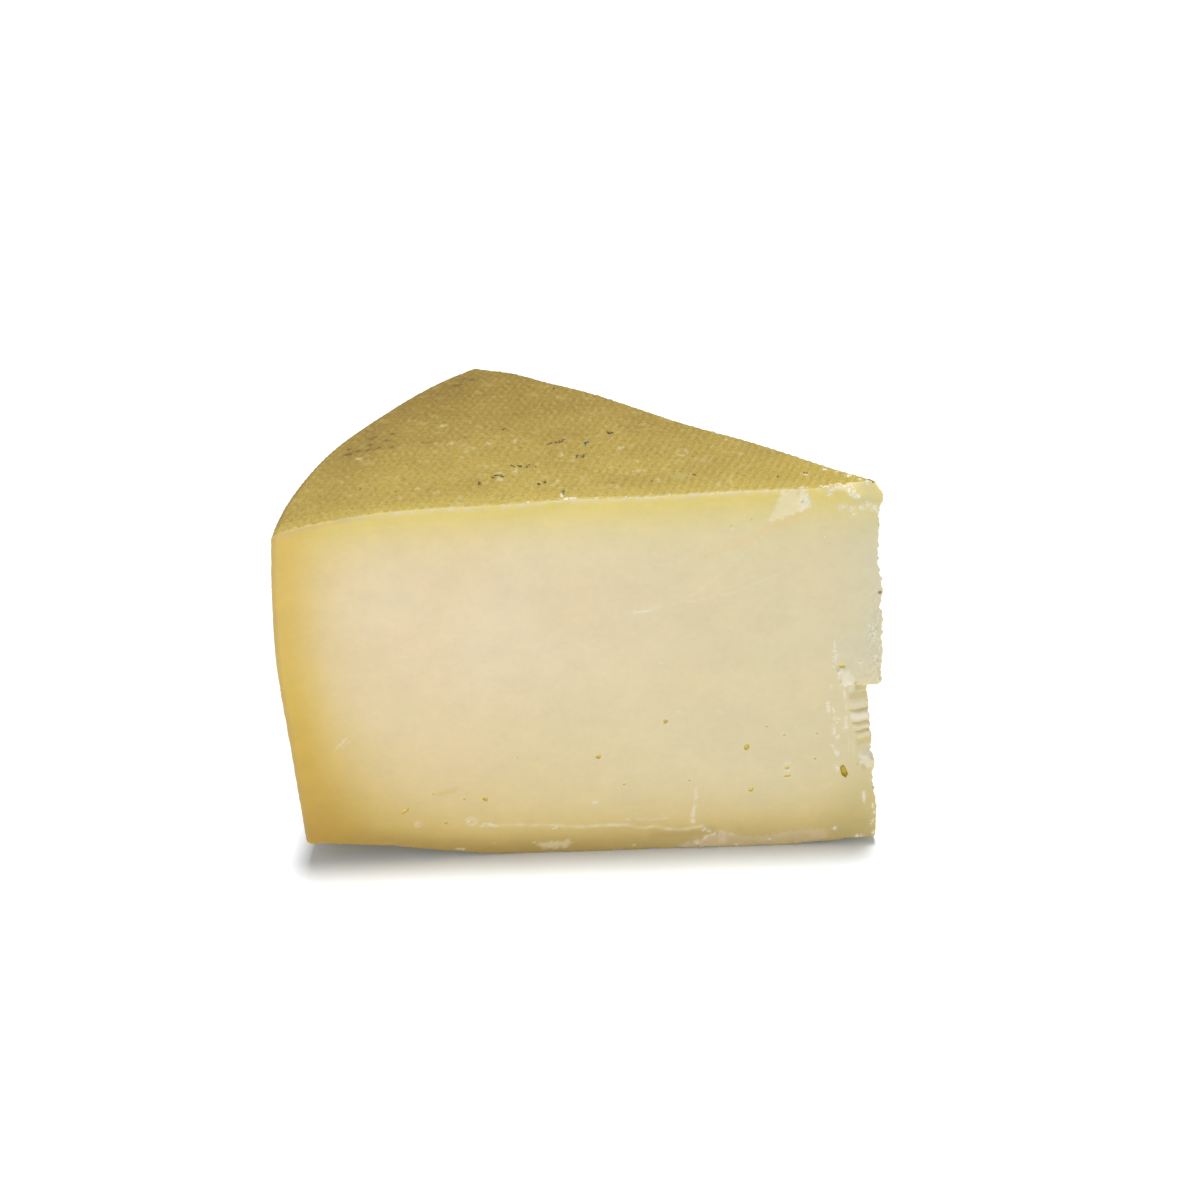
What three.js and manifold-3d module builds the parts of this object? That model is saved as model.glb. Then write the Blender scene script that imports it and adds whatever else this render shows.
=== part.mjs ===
// A wedge of firm alpine cheese, cut from a low round wheel. Sizes are in millimetres and +Z is up.
//
// The wedge is one solid. It is made as the real one is: first the whole wheel, as it leaves its
// mould, then the two knife cuts that free the wedge, then the wear of handling, which is a broken
// nose, thin flakes pressed onto the cut face, and the few small eyes that the knife opened.
//
// While it is shaped, the point of the wedge is the origin. The front cut runs from there along -X
// in the plane Y = 0, and the cheese lies behind it, at Y > 0. The last step moves the origin to the
// middle of the base.
import * as THREE from "three";
import { mergeVertices } from "three/addons/utils/BufferGeometryUtils.js";
import Module from "manifold-3d";

const wasm = await Module();
wasm.setup();

// The wheel: upper face, heel and base.
const WHEEL_RADIUS = 154.4;
const FACE_HEIGHT = 110.4;
const CROWN_RISE = 2.7;
const SHOULDER_START = 97;
const SHOULDER_DROP = 6.8;
const RIM_ROUNDING = 1.6;
const HEEL_TOP_INSET = 1.8;
const HEEL_FOOT_INSET = 3.9;
const HEEL_FOOT_HEIGHT = 3.4;
const HEEL_BULGE_HEIGHT = 68;
const BASE_FLAT_RADIUS = 132;

// Where the front cut meets the base, the wheel's foot had lifted a little more than it did behind.
const FRONT_LIFT = 5.6;
const FRONT_LIFT_START = 88;
const FRONT_LIFT_END = 150;
const FRONT_LIFT_FADE = [5, 36];

// Towards the point the base had lifted a little as well.
const POINT_LIFT = 2.0;
const POINT_LIFT_LENGTH = 26;

// The lie of the upper face and the heel is a little uneven.
const FACE_SWELL = 0.35;
const FACE_SWELL_LENGTH = 62;
const HEEL_SWELL = 0.3;
const HEEL_SWELLS = 7;

// The two knife cuts. The point of the wedge missed the wheel's centre by the second pair of sizes.
const WEDGE_ANGLE = THREE.MathUtils.degToRad(43.45);
const CENTRE_FROM_POINT = new THREE.Vector2(-6.0, -11.65);
const POINT_AT_TOP = 2.6;
const BACK_CUT_LEAN = 0.045;
// How far the knife wandered off a straight back cut, as [distance from the point, outward sway].
const BACK_CUT_SWAY = [
  [0, 0],
  [20, -1.2],
  [42, -1.1],
  [72, -2.1],
  [95, -2.0],
  [117, -2.0],
  [138, -0.3],
  [152, 0],
  [190, 0],
];

// How far the nose reaches past the point, as [height, reach]. It is torn, most of all from 29 to 52.
const NOSE_EDGE = [
  [-2, 3.3],
  [11, 3.3],
  [17, 2.3],
  [22, 1.3],
  [24.5, 1.4],
  [26.5, 2.0],
  [29, 0.7],
  [51.5, 0.7],
  [53.6, 3.0],
  [56.5, 2.2],
  [59, 2.6],
  [63, 2.8],
  [66, 1.7],
  [70, 2.1],
  [74, 2.4],
  [77, 1.5],
  [81, 2.0],
  [84, 1.2],
  [89.5, -0.1],
  [97, 0.05],
  [105.5, -0.2],
  [110, 0.7],
  [FACE_HEIGHT + 9, 0.5],
];

// The break in the nose: an oblique facet in short level ridges, as a dragging knife leaves.
const BREAK_BOTTOM = 29.4;
const BREAK_TOP = 52;
const BREAK_START = -6.3;
const BREAK_TURN = THREE.MathUtils.degToRad(26);
const BREAK_LEAN = 0.045;
const RIDGE_PITCH = 4.3;
const RIDGE_DEPTH = 0.75;
const RIDGE_STEPS = 6;

// The upper corner of the nose is chipped off by one slanting break through three points.
const CHIP_POINTS = [
  new THREE.Vector3(-13, 0, 112.4),
  new THREE.Vector3(0.7, 0, 108.8),
  new THREE.Vector3(-2, 4.5, 111.6),
];

// Thin flakes and smears on the front cut: how proud each one lies, and its outline as [x, z].
const FLAKES = [
  // the torn flap above the break
  {
    proud: 0.7,
    outline: [
      [-10.4, 66], [-9.7, 59], [-8.2, 57.6], [-9.1, 55], [-8.5, 52.6], [-6.6, 51.9],
      [-4.6, 53], [-2, 51.7], [2.6, 53.9], [2, 58], [2.2, 63], [0.8, 67.5], [-5, 68.4],
    ],
  },
  // its loose lower lip
  {
    proud: 1.5,
    outline: [[-8.9, 56.4], [-8.4, 53], [-6.7, 52.2], [-4.9, 53.3], [-4.7, 55.4], [-6.8, 57]],
  },
  // the broad flake that folds under the foot of the cut
  {
    proud: 0.55,
    outline: [
      [-51.2, 0.9], [-47.6, 2.1], [-45.2, 2.7], [-41.4, 5.1], [-36, 4.7], [-24, 4.9],
      [-16, 4.4], [-11.4, 4.6], [-10.4, 3.4], [-11.2, 2], [-20, 0.9], [-34, 0.6], [-47, 0.5],
    ],
  },
  // a short smear on the foot
  { proud: 0.4, outline: [[-91.6, 3], [-88, 3.3], [-84, 4.1], [-82.9, 3], [-84, 1.9], [-89.6, 1.5]] },
  // a smear of rind below the upper edge
  {
    proud: 0.35,
    outline: [
      [-29.4, 104.2], [-26.4, 107.6], [-24.6, 111.4], [-21.4, 111.6], [-20.3, 110],
      [-18, 108.8], [-18.6, 106.6], [-21, 105.6], [-24.6, 104],
    ],
  },
];
const FLAKE_BEVEL = 0.3;
const FLAKE_ROOT = 1.5;

// The eyes that the front knife opened, as [x, z, width, height, tilt in degrees].
const EYES = [
  [-128.3, 15.8, 2.4, 1.2, 45],
  [-117.2, 11.5, 1.2, 1.2, 0],
  [-106, 19, 1.7, 1.3, -30],
  [-74.4, 31.7, 1.4, 1.3, 0],
  [-55.9, 42.6, 1.3, 1.3, 0],
  [-33.5, 33.2, 1.4, 1.9, -10],
  [-32, 19.2, 1.6, 1.2, 25],
  [-22.2, 26.1, 1.0, 1.3, 0],
  [-22, 23.5, 1.9, 1.0, 10],
  [-6.5, 24.4, 1.9, 4.0, 12],
  [-8, 58.1, 2.2, 1.4, 0],
];

// How finely the round forms are faceted.
const WHEEL_SIDES = 216;
const FACE_STEP = 13;
const HEEL_STEPS = 16;
const CORNER_STEPS = 3;
const SWAY_STEP = 6;
const EYE_SIDES = 8;
const CLEAR = 20;

// A closed three.js geometry as a solid that can be joined and cut.
function solidOf(geometry) {
  const bare = geometry.index ? geometry.toNonIndexed() : geometry.clone();
  bare.deleteAttribute("normal");
  bare.deleteAttribute("uv");
  const merged = mergeVertices(bare, 1e-4);
  const corners = [];
  for (let i = 0; i < merged.index.count; i += 3) {
    const [a, b, c] = [0, 1, 2].map((k) => merged.index.getX(i + k));
    if (a !== b && b !== c && c !== a) corners.push(a, b, c);
  }
  return new wasm.Manifold(
    new wasm.Mesh({
      numProp: 3,
      vertProperties: merged.attributes.position.array,
      triVerts: new Uint32Array(corners),
    }),
  );
}

// A closed outline in the plane of the front cut, given as [x, z], drawn out along Y.
function frontPrism(outline, nearY, farY, options = {}) {
  const shape = new THREE.Shape(outline.map(([x, z]) => new THREE.Vector2(x, z)));
  const settings = { depth: farY - nearY, bevelEnabled: false, ...options };
  const geometry = new THREE.ExtrudeGeometry(shape, settings);
  return geometry.rotateX(Math.PI / 2).translate(0, farY, 0);
}

// The height of the upper face at a radius: a slight crown, then a shoulder that falls to the rim.
function faceHeight(radius) {
  if (radius < SHOULDER_START) return FACE_HEIGHT + CROWN_RISE * (1 - radius / SHOULDER_START);
  const rim = WHEEL_RADIUS - HEEL_TOP_INSET;
  return FACE_HEIGHT - SHOULDER_DROP * ((radius - SHOULDER_START) / (rim - SHOULDER_START)) ** 2;
}

// The height of the base at a radius: flat, then a short rise to the heel's foot.
function baseHeight(radius) {
  const foot = WHEEL_RADIUS - HEEL_FOOT_INSET;
  const rise = Math.max(0, (radius - BASE_FLAT_RADIUS) / (foot - BASE_FLAT_RADIUS));
  return HEEL_FOOT_HEIGHT * rise ** 2;
}

// The heel from its foot to the rim, fullest at two thirds of its height.
function heelCurve() {
  const rimHeight = faceHeight(WHEEL_RADIUS - HEEL_TOP_INSET);
  return new THREE.SplineCurve([
    new THREE.Vector2(WHEEL_RADIUS - HEEL_FOOT_INSET, HEEL_FOOT_HEIGHT),
    new THREE.Vector2(WHEEL_RADIUS - 0.5 * HEEL_FOOT_INSET, 0.5 * HEEL_BULGE_HEIGHT),
    new THREE.Vector2(WHEEL_RADIUS, HEEL_BULGE_HEIGHT),
    new THREE.Vector2(WHEEL_RADIUS - 0.3 * HEEL_TOP_INSET, 0.83 * rimHeight),
    new THREE.Vector2(WHEEL_RADIUS - HEEL_TOP_INSET, rimHeight),
  ]);
}

// A quarter turn from one line to the next, as the rounded corner of a profile.
function roundCorner(from, corner, to) {
  return new THREE.QuadraticBezierCurve(from, corner, to).getPoints(CORNER_STEPS);
}

// Half the section of the wheel, from the middle of the base round the heel to the middle of the face.
function wheelProfile() {
  const heel = heelCurve().getPoints(HEEL_STEPS);
  const foot = heel[0];
  const rim = heel[HEEL_STEPS];
  const points = [new THREE.Vector2(0, 0)];
  for (let r = FACE_STEP; r < foot.x - 2 * RIM_ROUNDING; r += FACE_STEP) {
    points.push(new THREE.Vector2(r, baseHeight(r)));
  }
  const footIn = foot.x - RIM_ROUNDING;
  const footUp = foot.clone().lerp(heel[1], RIM_ROUNDING / foot.distanceTo(heel[1]));
  points.push(...roundCorner(new THREE.Vector2(footIn, baseHeight(footIn)), foot, footUp));
  points.push(...heel.slice(1, HEEL_STEPS));
  const rimIn = rim.x - RIM_ROUNDING;
  const below = heel[HEEL_STEPS - 1];
  const rimDown = rim.clone().lerp(below, RIM_ROUNDING / rim.distanceTo(below));
  points.push(...roundCorner(rimDown, rim, new THREE.Vector2(rimIn, faceHeight(rimIn))));
  for (let r = Math.floor(rimIn / FACE_STEP) * FACE_STEP; r > 0; r -= 0.5 * FACE_STEP) {
    points.push(new THREE.Vector2(r, faceHeight(r)));
  }
  points.push(new THREE.Vector2(0, faceHeight(0)));
  return points;
}

// How much more the foot is lifted at the front cut and at the point than elsewhere.
function addedLift(x, y, z) {
  const radius = Math.hypot(x - CENTRE_FROM_POINT.x, y - CENTRE_FROM_POINT.y);
  const shown = FRONT_LIFT * THREE.MathUtils.smoothstep(radius, FRONT_LIFT_START, FRONT_LIFT_END);
  const nearFront = 1 - THREE.MathUtils.smoothstep(y, ...FRONT_LIFT_FADE);
  const nearBase = 1 - THREE.MathUtils.smoothstep(z, 0, 0.4 * FACE_HEIGHT);
  const fromPoint = Math.min(1, Math.hypot(x, y) / POINT_LIFT_LENGTH);
  const atPoint = POINT_LIFT * (1 - fromPoint) ** 1.5;
  return (Math.max(0, shown - baseHeight(radius)) * nearFront + atPoint) * nearBase;
}

// The slow unevenness of the upper face, as a change of height.
function faceSwell(x, y) {
  const turn = (2 * Math.PI) / FACE_SWELL_LENGTH;
  return FACE_SWELL * Math.sin(turn * (x + 0.4 * y)) * Math.cos(turn * (0.7 * y - 0.3 * x));
}

// The whole wheel, turned about its own axis and then made a little uneven.
function makeWheel() {
  const geometry = new THREE.LatheGeometry(wheelProfile(), WHEEL_SIDES);
  geometry.rotateX(Math.PI / 2).translate(CENTRE_FROM_POINT.x, CENTRE_FROM_POINT.y, 0);
  const position = geometry.attributes.position;
  const point = new THREE.Vector3();
  const outward = new THREE.Vector3();
  for (let i = 0; i < position.count; i += 1) {
    point.fromBufferAttribute(position, i);
    outward.set(point.x - CENTRE_FROM_POINT.x, point.y - CENTRE_FROM_POINT.y, 0);
    const onHeel = THREE.MathUtils.smoothstep(outward.length(), 0.9 * WHEEL_RADIUS, WHEEL_RADIUS);
    const onFace = THREE.MathUtils.smoothstep(point.z, 0.7 * FACE_HEIGHT, 0.95 * FACE_HEIGHT);
    const angle = Math.atan2(outward.y, outward.x);
    const swell = HEEL_SWELL * Math.sin(HEEL_SWELLS * angle) * onHeel;
    point.addScaledVector(outward.normalize(), swell);
    point.z += faceSwell(point.x, point.y) * onFace + addedLift(point.x, point.y, point.z);
    position.setXYZ(i, point.x, point.y, point.z);
  }
  return solidOf(geometry);
}

// The block between the two knife cuts. Its back cut sways as it goes, and leans out to the base.
function makeKnifeBlock() {
  const along = new THREE.Vector2(-Math.cos(WEDGE_ANGLE), Math.sin(WEDGE_ANGLE));
  const outward = new THREE.Vector2(along.y, -along.x);
  const sway = new THREE.SplineCurve(BACK_CUT_SWAY.map(([s, w]) => new THREE.Vector2(s, w)));
  const steps = Math.round(BACK_CUT_SWAY.at(-1)[0] / SWAY_STEP);
  const backCut = sway
    .getPoints(steps)
    .map((p) => along.clone().multiplyScalar(p.x).addScaledVector(outward, p.y));
  const first = backCut[0];
  const point = new THREE.Vector2(first.x + first.y / Math.tan(WEDGE_ANGLE), 0);
  const farX = -WHEEL_RADIUS - CLEAR;
  const far = [new THREE.Vector2(farX, backCut.at(-1).y), new THREE.Vector2(farX, 0)];
  const shape = new THREE.Shape([point, ...backCut, ...far]);
  const depth = FACE_HEIGHT + 2 * CLEAR;
  const geometry = new THREE.ExtrudeGeometry(shape, { depth, bevelEnabled: false });
  geometry.translate(POINT_AT_TOP, 0, -CLEAR - FACE_HEIGHT);
  geometry.applyMatrix4(new THREE.Matrix4().makeShear(0, 0, 0, 0, -BACK_CUT_LEAN, 0));
  return solidOf(geometry.translate(0, 0, FACE_HEIGHT));
}

// Everything on the cheese's side of the torn edge of the nose.
function makeNoseBlock() {
  const edge = NOSE_EDGE.map(([z, reach]) => [reach, z]);
  const farX = -WHEEL_RADIUS - CLEAR;
  const outline = [...edge, [farX, edge.at(-1)[1]], [farX, edge[0][1]]];
  return solidOf(frontPrism(outline, -CLEAR, WHEEL_RADIUS));
}

// What the break took out of the nose. Its inner face is a stack of rounded ridges.
function makeBreak() {
  const steps = Math.round((BREAK_TOP - BREAK_BOTTOM) / RIDGE_PITCH) * RIDGE_STEPS;
  const outline = [[CLEAR, BREAK_TOP], [CLEAR, BREAK_BOTTOM]];
  for (let i = 0; i <= steps; i += 1) {
    const z = BREAK_BOTTOM + ((BREAK_TOP - BREAK_BOTTOM) * i) / steps;
    const ridge = Math.abs(Math.sin((Math.PI * i) / RIDGE_STEPS));
    const lean = BREAK_LEAN * (BREAK_BOTTOM - z);
    outline.push([RIDGE_DEPTH * (ridge - 1) + lean, z]);
  }
  const geometry = frontPrism(outline, -CLEAR, CLEAR);
  return solidOf(geometry.rotateZ(BREAK_TURN - Math.PI / 2).translate(BREAK_START, 0, 0));
}

// The chip off the upper corner of the nose, as everything above the plane of the break.
function makeChip() {
  const plane = new THREE.Plane().setFromCoplanarPoints(...CHIP_POINTS);
  const up = plane.normal.z > 0 ? plane.normal : plane.normal.clone().negate();
  const geometry = new THREE.BoxGeometry(CLEAR, CLEAR, CLEAR).translate(0, 0, 0.5 * CLEAR);
  const turn = new THREE.Quaternion().setFromUnitVectors(new THREE.Vector3(0, 0, 1), up);
  const middle = CHIP_POINTS[1];
  return solidOf(geometry.applyQuaternion(turn).translate(middle.x, middle.y, middle.z));
}

// A thin flake that lies on the front cut, with a worn edge.
function makeFlake({ proud, outline }) {
  const bevel = { bevelEnabled: true, bevelSegments: 1, bevelThickness: FLAKE_BEVEL };
  const settings = { ...bevel, bevelSize: FLAKE_BEVEL, bevelOffset: -FLAKE_BEVEL };
  return solidOf(frontPrism(outline, FLAKE_BEVEL - proud, FLAKE_ROOT, settings));
}

// The hollow that an eye leaves where the knife went through it.
function makeEye([x, z, width, height, tilt]) {
  const geometry = new THREE.SphereGeometry(0.5, EYE_SIDES, EYE_SIDES - 2);
  const depth = 1.4 * Math.min(width, height);
  geometry.scale(width, depth, height).rotateY(-THREE.MathUtils.degToRad(tilt));
  return solidOf(geometry.translate(x, 0, z));
}

// The wedge as cut, broken and handled, still with its point at the origin.
function makeWedge() {
  let wedge = makeWheel().intersect(makeKnifeBlock()).intersect(makeNoseBlock());
  wedge = wedge.subtract(makeBreak()).subtract(makeChip());
  FLAKES.forEach((flake) => {
    wedge = wedge.add(makeFlake(flake));
  });
  EYES.forEach((eye) => {
    wedge = wedge.subtract(makeEye(eye));
  });
  return wedge;
}

// The wedge's surface as a three.js geometry, with its origin moved to the middle of the base.
function restingGeometry(solid) {
  const surface = solid.getMesh();
  const geometry = new THREE.BufferGeometry();
  geometry.setAttribute("position", new THREE.BufferAttribute(surface.vertProperties, 3));
  geometry.setIndex(new THREE.BufferAttribute(surface.triVerts, 1));
  geometry.computeBoundingBox();
  const { min, max } = geometry.boundingBox;
  geometry.translate(-0.5 * (min.x + max.x), -0.5 * (min.y + max.y), -min.z);
  geometry.computeVertexNormals();
  return geometry;
}

const paste = new THREE.MeshStandardMaterial({ color: 0xe0cfa0, roughness: 0.55, metalness: 0 });

const cheese = new THREE.Group();
const wedge = new THREE.Mesh(restingGeometry(makeWedge()), paste);
wedge.name = "cheese_wedge";
cheese.add(wedge);

export default cheese;
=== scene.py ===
# %% [markdown]
# # A wedge of alpine cheese
#
# The real thing is an eighth of a low, round wheel of firm mountain cheese, stood on its base. Three
# things make it look as it does. The wheel was pressed in a cloth-lined mould, so its rind carries the
# print of the threads. A knife went through it twice, so two sides are smooth, pale and a little
# translucent. And it has been handled, so its point is torn and a few thin flakes cling to the cut.
#
# The model is made in the same order: a printed wheel, two cuts, then the wear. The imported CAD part
# says where the wedge stands and how large it is, and everything below is placed from its box.

import math

import bmesh
import bpy
import numpy as np
from mathutils import Matrix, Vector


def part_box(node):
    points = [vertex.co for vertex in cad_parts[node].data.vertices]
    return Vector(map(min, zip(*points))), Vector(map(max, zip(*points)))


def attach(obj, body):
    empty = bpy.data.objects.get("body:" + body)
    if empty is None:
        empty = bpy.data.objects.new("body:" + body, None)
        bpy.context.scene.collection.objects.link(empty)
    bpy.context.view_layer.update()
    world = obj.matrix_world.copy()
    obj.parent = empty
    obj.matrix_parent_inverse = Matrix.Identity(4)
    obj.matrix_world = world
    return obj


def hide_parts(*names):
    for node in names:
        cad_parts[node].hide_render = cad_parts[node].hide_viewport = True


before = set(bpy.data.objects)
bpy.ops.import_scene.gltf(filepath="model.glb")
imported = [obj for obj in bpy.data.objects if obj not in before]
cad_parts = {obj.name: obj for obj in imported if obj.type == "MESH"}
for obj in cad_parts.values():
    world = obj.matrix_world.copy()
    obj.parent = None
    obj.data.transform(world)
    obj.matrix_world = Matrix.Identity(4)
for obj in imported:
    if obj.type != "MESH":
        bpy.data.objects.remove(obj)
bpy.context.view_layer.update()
NODE = "cheese_wedge"
low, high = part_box(NODE)

# %% [markdown]
# ## Where the wedge lies
#
# The part's origin is the middle of its base, but a wedge is easier to think about from its point. So
# the shapes below are worked out in millimetres in a frame of their own: the point of the wedge is at
# zero, the front cut runs from there along -X in the plane Y = 0, and the cheese lies behind it. One
# shift turns such places into the part's own metres.

# %% The maker's frame, in millimetres
MM = 0.001
NOSE_REACH = 3.3
LIP_PROUD = 1.5
SHIFT = np.array([high.x - NOSE_REACH * MM, low.y + LIP_PROUD * MM, low.z])


def to_metres(points):
    """Places in the maker's frame, as places in the part's frame."""
    return np.asarray(points, float) * MM + SHIFT


def to_millimetres(places):
    """Places in the part's frame, as points in the maker's frame."""
    return (np.asarray(places, float) - SHIFT) / MM


print("point of the wedge at", to_metres((0, 0, 0)).round(4))

# %% [markdown]
# ## The camera
#
# The picture was taken from a little above and almost square to the front cut, with a long lens. The
# camera is built from its bearing and height round the point that it looks at, and it leans by one
# degree. Half of the likeness is in this: with a shorter lens the upper rind would spread too wide.

# %% Place the camera
LENS = 72.0
SENSOR = 36.0
AIM = np.array([-72.35, 30.0, 64.22])
DISTANCE = 670.4
BEARING = math.radians(-1.58)
ELEVATION = math.radians(29.53)
LEAN = math.radians(-1.0)


def camera_axes():
    """The camera's right, up and backward directions."""
    back = np.array(
        [
            math.sin(BEARING) * math.cos(ELEVATION),
            -math.cos(BEARING) * math.cos(ELEVATION),
            math.sin(ELEVATION),
        ]
    )
    level = np.cross(-back, (0, 0, 1))
    level /= np.linalg.norm(level)
    upright = np.cross(level, -back)
    right = level * math.cos(LEAN) + upright * math.sin(LEAN)
    up = upright * math.cos(LEAN) - level * math.sin(LEAN)
    return right, up, back


right, up, back = camera_axes()
camera_data = bpy.data.cameras.new("camera")
camera_data.lens = LENS
camera_data.sensor_width = SENSOR
camera = bpy.data.objects.new("camera", camera_data)
bpy.context.scene.collection.objects.link(camera)
pose = np.eye(4)
pose[:3, 0], pose[:3, 1], pose[:3, 2] = right, up, back
pose[:3, 3] = to_metres(AIM + DISTANCE * back)
camera.matrix_world = Matrix(pose.tolist())
bpy.context.scene.camera = camera
print("camera at", pose[:3, 3].round(3))

# %% [markdown]
# ## The form of the wheel
#
# A pressed wheel is a flat drum whose edges have sunk a little. Its upper face is slightly crowned and
# falls away over the last third to the rim. Its heel bulges, fullest at two thirds of the height. Its
# base is flat, and turns up a little at the foot. Each of these is a small function, so that any point
# of the surface can be worked out at whatever fineness a mesh needs.

# %% Profiles of the wheel
WHEEL_RADIUS = 154.4
FACE_HEIGHT = 110.4
CROWN_RISE = 2.7
SHOULDER_START = 97.0
SHOULDER_DROP = 6.8
HEEL_TOP_INSET = 1.8
HEEL_FOOT_INSET = 3.9
HEEL_FOOT_HEIGHT = 3.4
HEEL_BULGE_HEIGHT = 68.0
BASE_FLAT_RADIUS = 132.0
CENTRE = np.array([-6.0, -11.65])


def smoothstep(start, end, value):
    """0 before start, 1 after end, and a smooth rise between them."""
    t = np.clip((value - start) / (end - start), 0, 1)
    return t * t * (3 - 2 * t)


def smooth_through(knots, at):
    """The height at each place of a smooth line through a few knots, given as (place, height)."""
    place, height = np.array(knots, float).T
    slope = np.gradient(height, place)
    i = np.clip(np.searchsorted(place, at) - 1, 0, len(place) - 2)
    step = place[i + 1] - place[i]
    t = np.clip((at - place[i]) / step, 0, 1)
    start = (1 + 2 * t) * (1 - t) ** 2 * height[i] + t * (1 - t) ** 2 * step * slope[i]
    end = t * t * (3 - 2 * t) * height[i + 1] + t * t * (t - 1) * step * slope[i + 1]
    return start + end


def wheel_radius_at(x, y):
    """Distance from the wheel's own axis."""
    return np.hypot(x - CENTRE[0], y - CENTRE[1])


def face_profile(radius):
    """Height of the upper face."""
    rim = WHEEL_RADIUS - HEEL_TOP_INSET
    crown = CROWN_RISE * (1 - np.minimum(radius, SHOULDER_START) / SHOULDER_START)
    fall = np.maximum(0, radius - SHOULDER_START) / (rim - SHOULDER_START)
    return FACE_HEIGHT + crown - SHOULDER_DROP * fall**2


def base_profile(radius):
    """Height of the base."""
    foot = WHEEL_RADIUS - HEEL_FOOT_INSET
    rise = np.maximum(0, radius - BASE_FLAT_RADIUS) / (foot - BASE_FLAT_RADIUS)
    return HEEL_FOOT_HEIGHT * rise**2


RIM_HEIGHT = float(face_profile(WHEEL_RADIUS - HEEL_TOP_INSET))
HEEL_KNOTS = (
    (HEEL_FOOT_HEIGHT, WHEEL_RADIUS - HEEL_FOOT_INSET),
    (0.5 * HEEL_BULGE_HEIGHT, WHEEL_RADIUS - 0.5 * HEEL_FOOT_INSET),
    (HEEL_BULGE_HEIGHT, WHEEL_RADIUS),
    (0.83 * RIM_HEIGHT, WHEEL_RADIUS - 0.3 * HEEL_TOP_INSET),
    (RIM_HEIGHT, WHEEL_RADIUS - HEEL_TOP_INSET),
)
print("rim height", round(RIM_HEIGHT, 1), "mm")

# %% [markdown]
# The wheel is not quite true. Where the front cut meets the base the foot had lifted, and so had the
# point, and the lower edge of that cut is nibbled. The upper face swells and sinks by a third of a
# millimetre. Sums of a few slow waves in random directions give that kind of unevenness, and a fixed
# seed makes them the same each time.

# %% Unevenness of the wheel
FRONT_LIFT = 5.6
FRONT_LIFT_START = 88.0
FRONT_LIFT_END = 150.0
FRONT_LIFT_FADE = (5.0, 36.0)
POINT_LIFT = 2.0
POINT_LIFT_LENGTH = 26.0
FACE_SWELL = 0.35
FACE_SWELL_LENGTH = 62.0
FACE_SAG = 0.5
SAG_BEHIND_CUT = (5, 40)
SAG_BEFORE_RIM = (115, 140)
HEEL_SWELL = 0.3
HEEL_SWELLS = 7
FOOT_RAGGED = 0.3
FOOT_RAGGED_FADE = (1.0, 6.0)


def wander(coordinates, wavelength, seed, waves=9):
    """Smooth random relief between about -1 and 1, as a sum of plane waves of about one wavelength."""
    draw = np.random.default_rng(seed)
    total = 0.0
    for _ in range(waves):
        direction = draw.normal(size=len(coordinates))
        direction /= np.linalg.norm(direction)
        turns = draw.uniform(0.6, 1.5) / wavelength
        along = sum(c * d for c, d in zip(coordinates, direction))
        total = total + np.sin(2 * math.pi * (turns * along + draw.uniform()))
    return total / math.sqrt(waves)


def rough(coordinates, *layers):
    """Several layers of such relief added up, each given as its height, wavelength and seed."""
    return sum(height * wander(coordinates, length, seed) for height, length, seed in layers)


def added_lift(x, y):
    """How much higher the base lies along the front cut and at the point than elsewhere."""
    radius = wheel_radius_at(x, y)
    shown = FRONT_LIFT * smoothstep(FRONT_LIFT_START, FRONT_LIFT_END, radius)
    near_front = 1 - smoothstep(*FRONT_LIFT_FADE, y)
    from_point = np.minimum(1, np.hypot(x, y) / POINT_LIFT_LENGTH)
    at_point = POINT_LIFT * (1 - from_point) ** 1.5
    return np.maximum(0, shown - base_profile(radius)) * near_front + at_point


def face_height(x, y):
    """Height of the upper face over the base plane, without the print of the cloth."""
    turn = 2 * math.pi / FACE_SWELL_LENGTH
    swell = np.sin(turn * (x + 0.4 * y)) * np.cos(turn * (0.7 * y - 0.3 * x))
    radius = wheel_radius_at(x, y)
    sunk = smoothstep(*SAG_BEHIND_CUT, y) * (1 - smoothstep(*SAG_BEFORE_RIM, radius))
    return face_profile(radius) + FACE_SWELL * swell - FACE_SAG * sunk


def foot_raggedness(x, y):
    """How far the lower edge of the front cut is nibbled away."""
    nibbled = np.maximum(0, rough((x, y), (1.0, 9.0, 31), (0.4, 2.4, 33)))
    return FOOT_RAGGED * nibbled * (1 - smoothstep(*FOOT_RAGGED_FADE, y))


def base_height(x, y):
    """Height of the base over the base plane."""
    return base_profile(wheel_radius_at(x, y)) + added_lift(x, y) + foot_raggedness(x, y)


def heel_radius(angle, z):
    """Radius of the heel at a bearing from the wheel's axis, and a height."""
    swell = HEEL_SWELL * np.sin(HEEL_SWELLS * angle)
    return smooth_through(HEEL_KNOTS, z) + swell


heel_end = CENTRE[0] - WHEEL_RADIUS + HEEL_FOOT_INSET
print("the foot of the front cut rises", round(float(base_height(heel_end, 0.0)), 1), "mm at the heel")

# %% [markdown]
# ## The print of the cloth
#
# The mould's cloth has two sets of threads that cross at a slant, 2.1 mm apart. Pressed into the young
# rind they leave two sets of ridges. Near the point one set is far stronger, and the rind looks combed.
# Further out both are alike, and it looks dimpled, like grains of rice. The ridges are fuller in some
# patches than in others, and were rubbed down a little by hands and shelves. The print could be a bump
# in the material, but it shows as a saw edge wherever the knife crossed it, so it is real relief.

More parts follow.
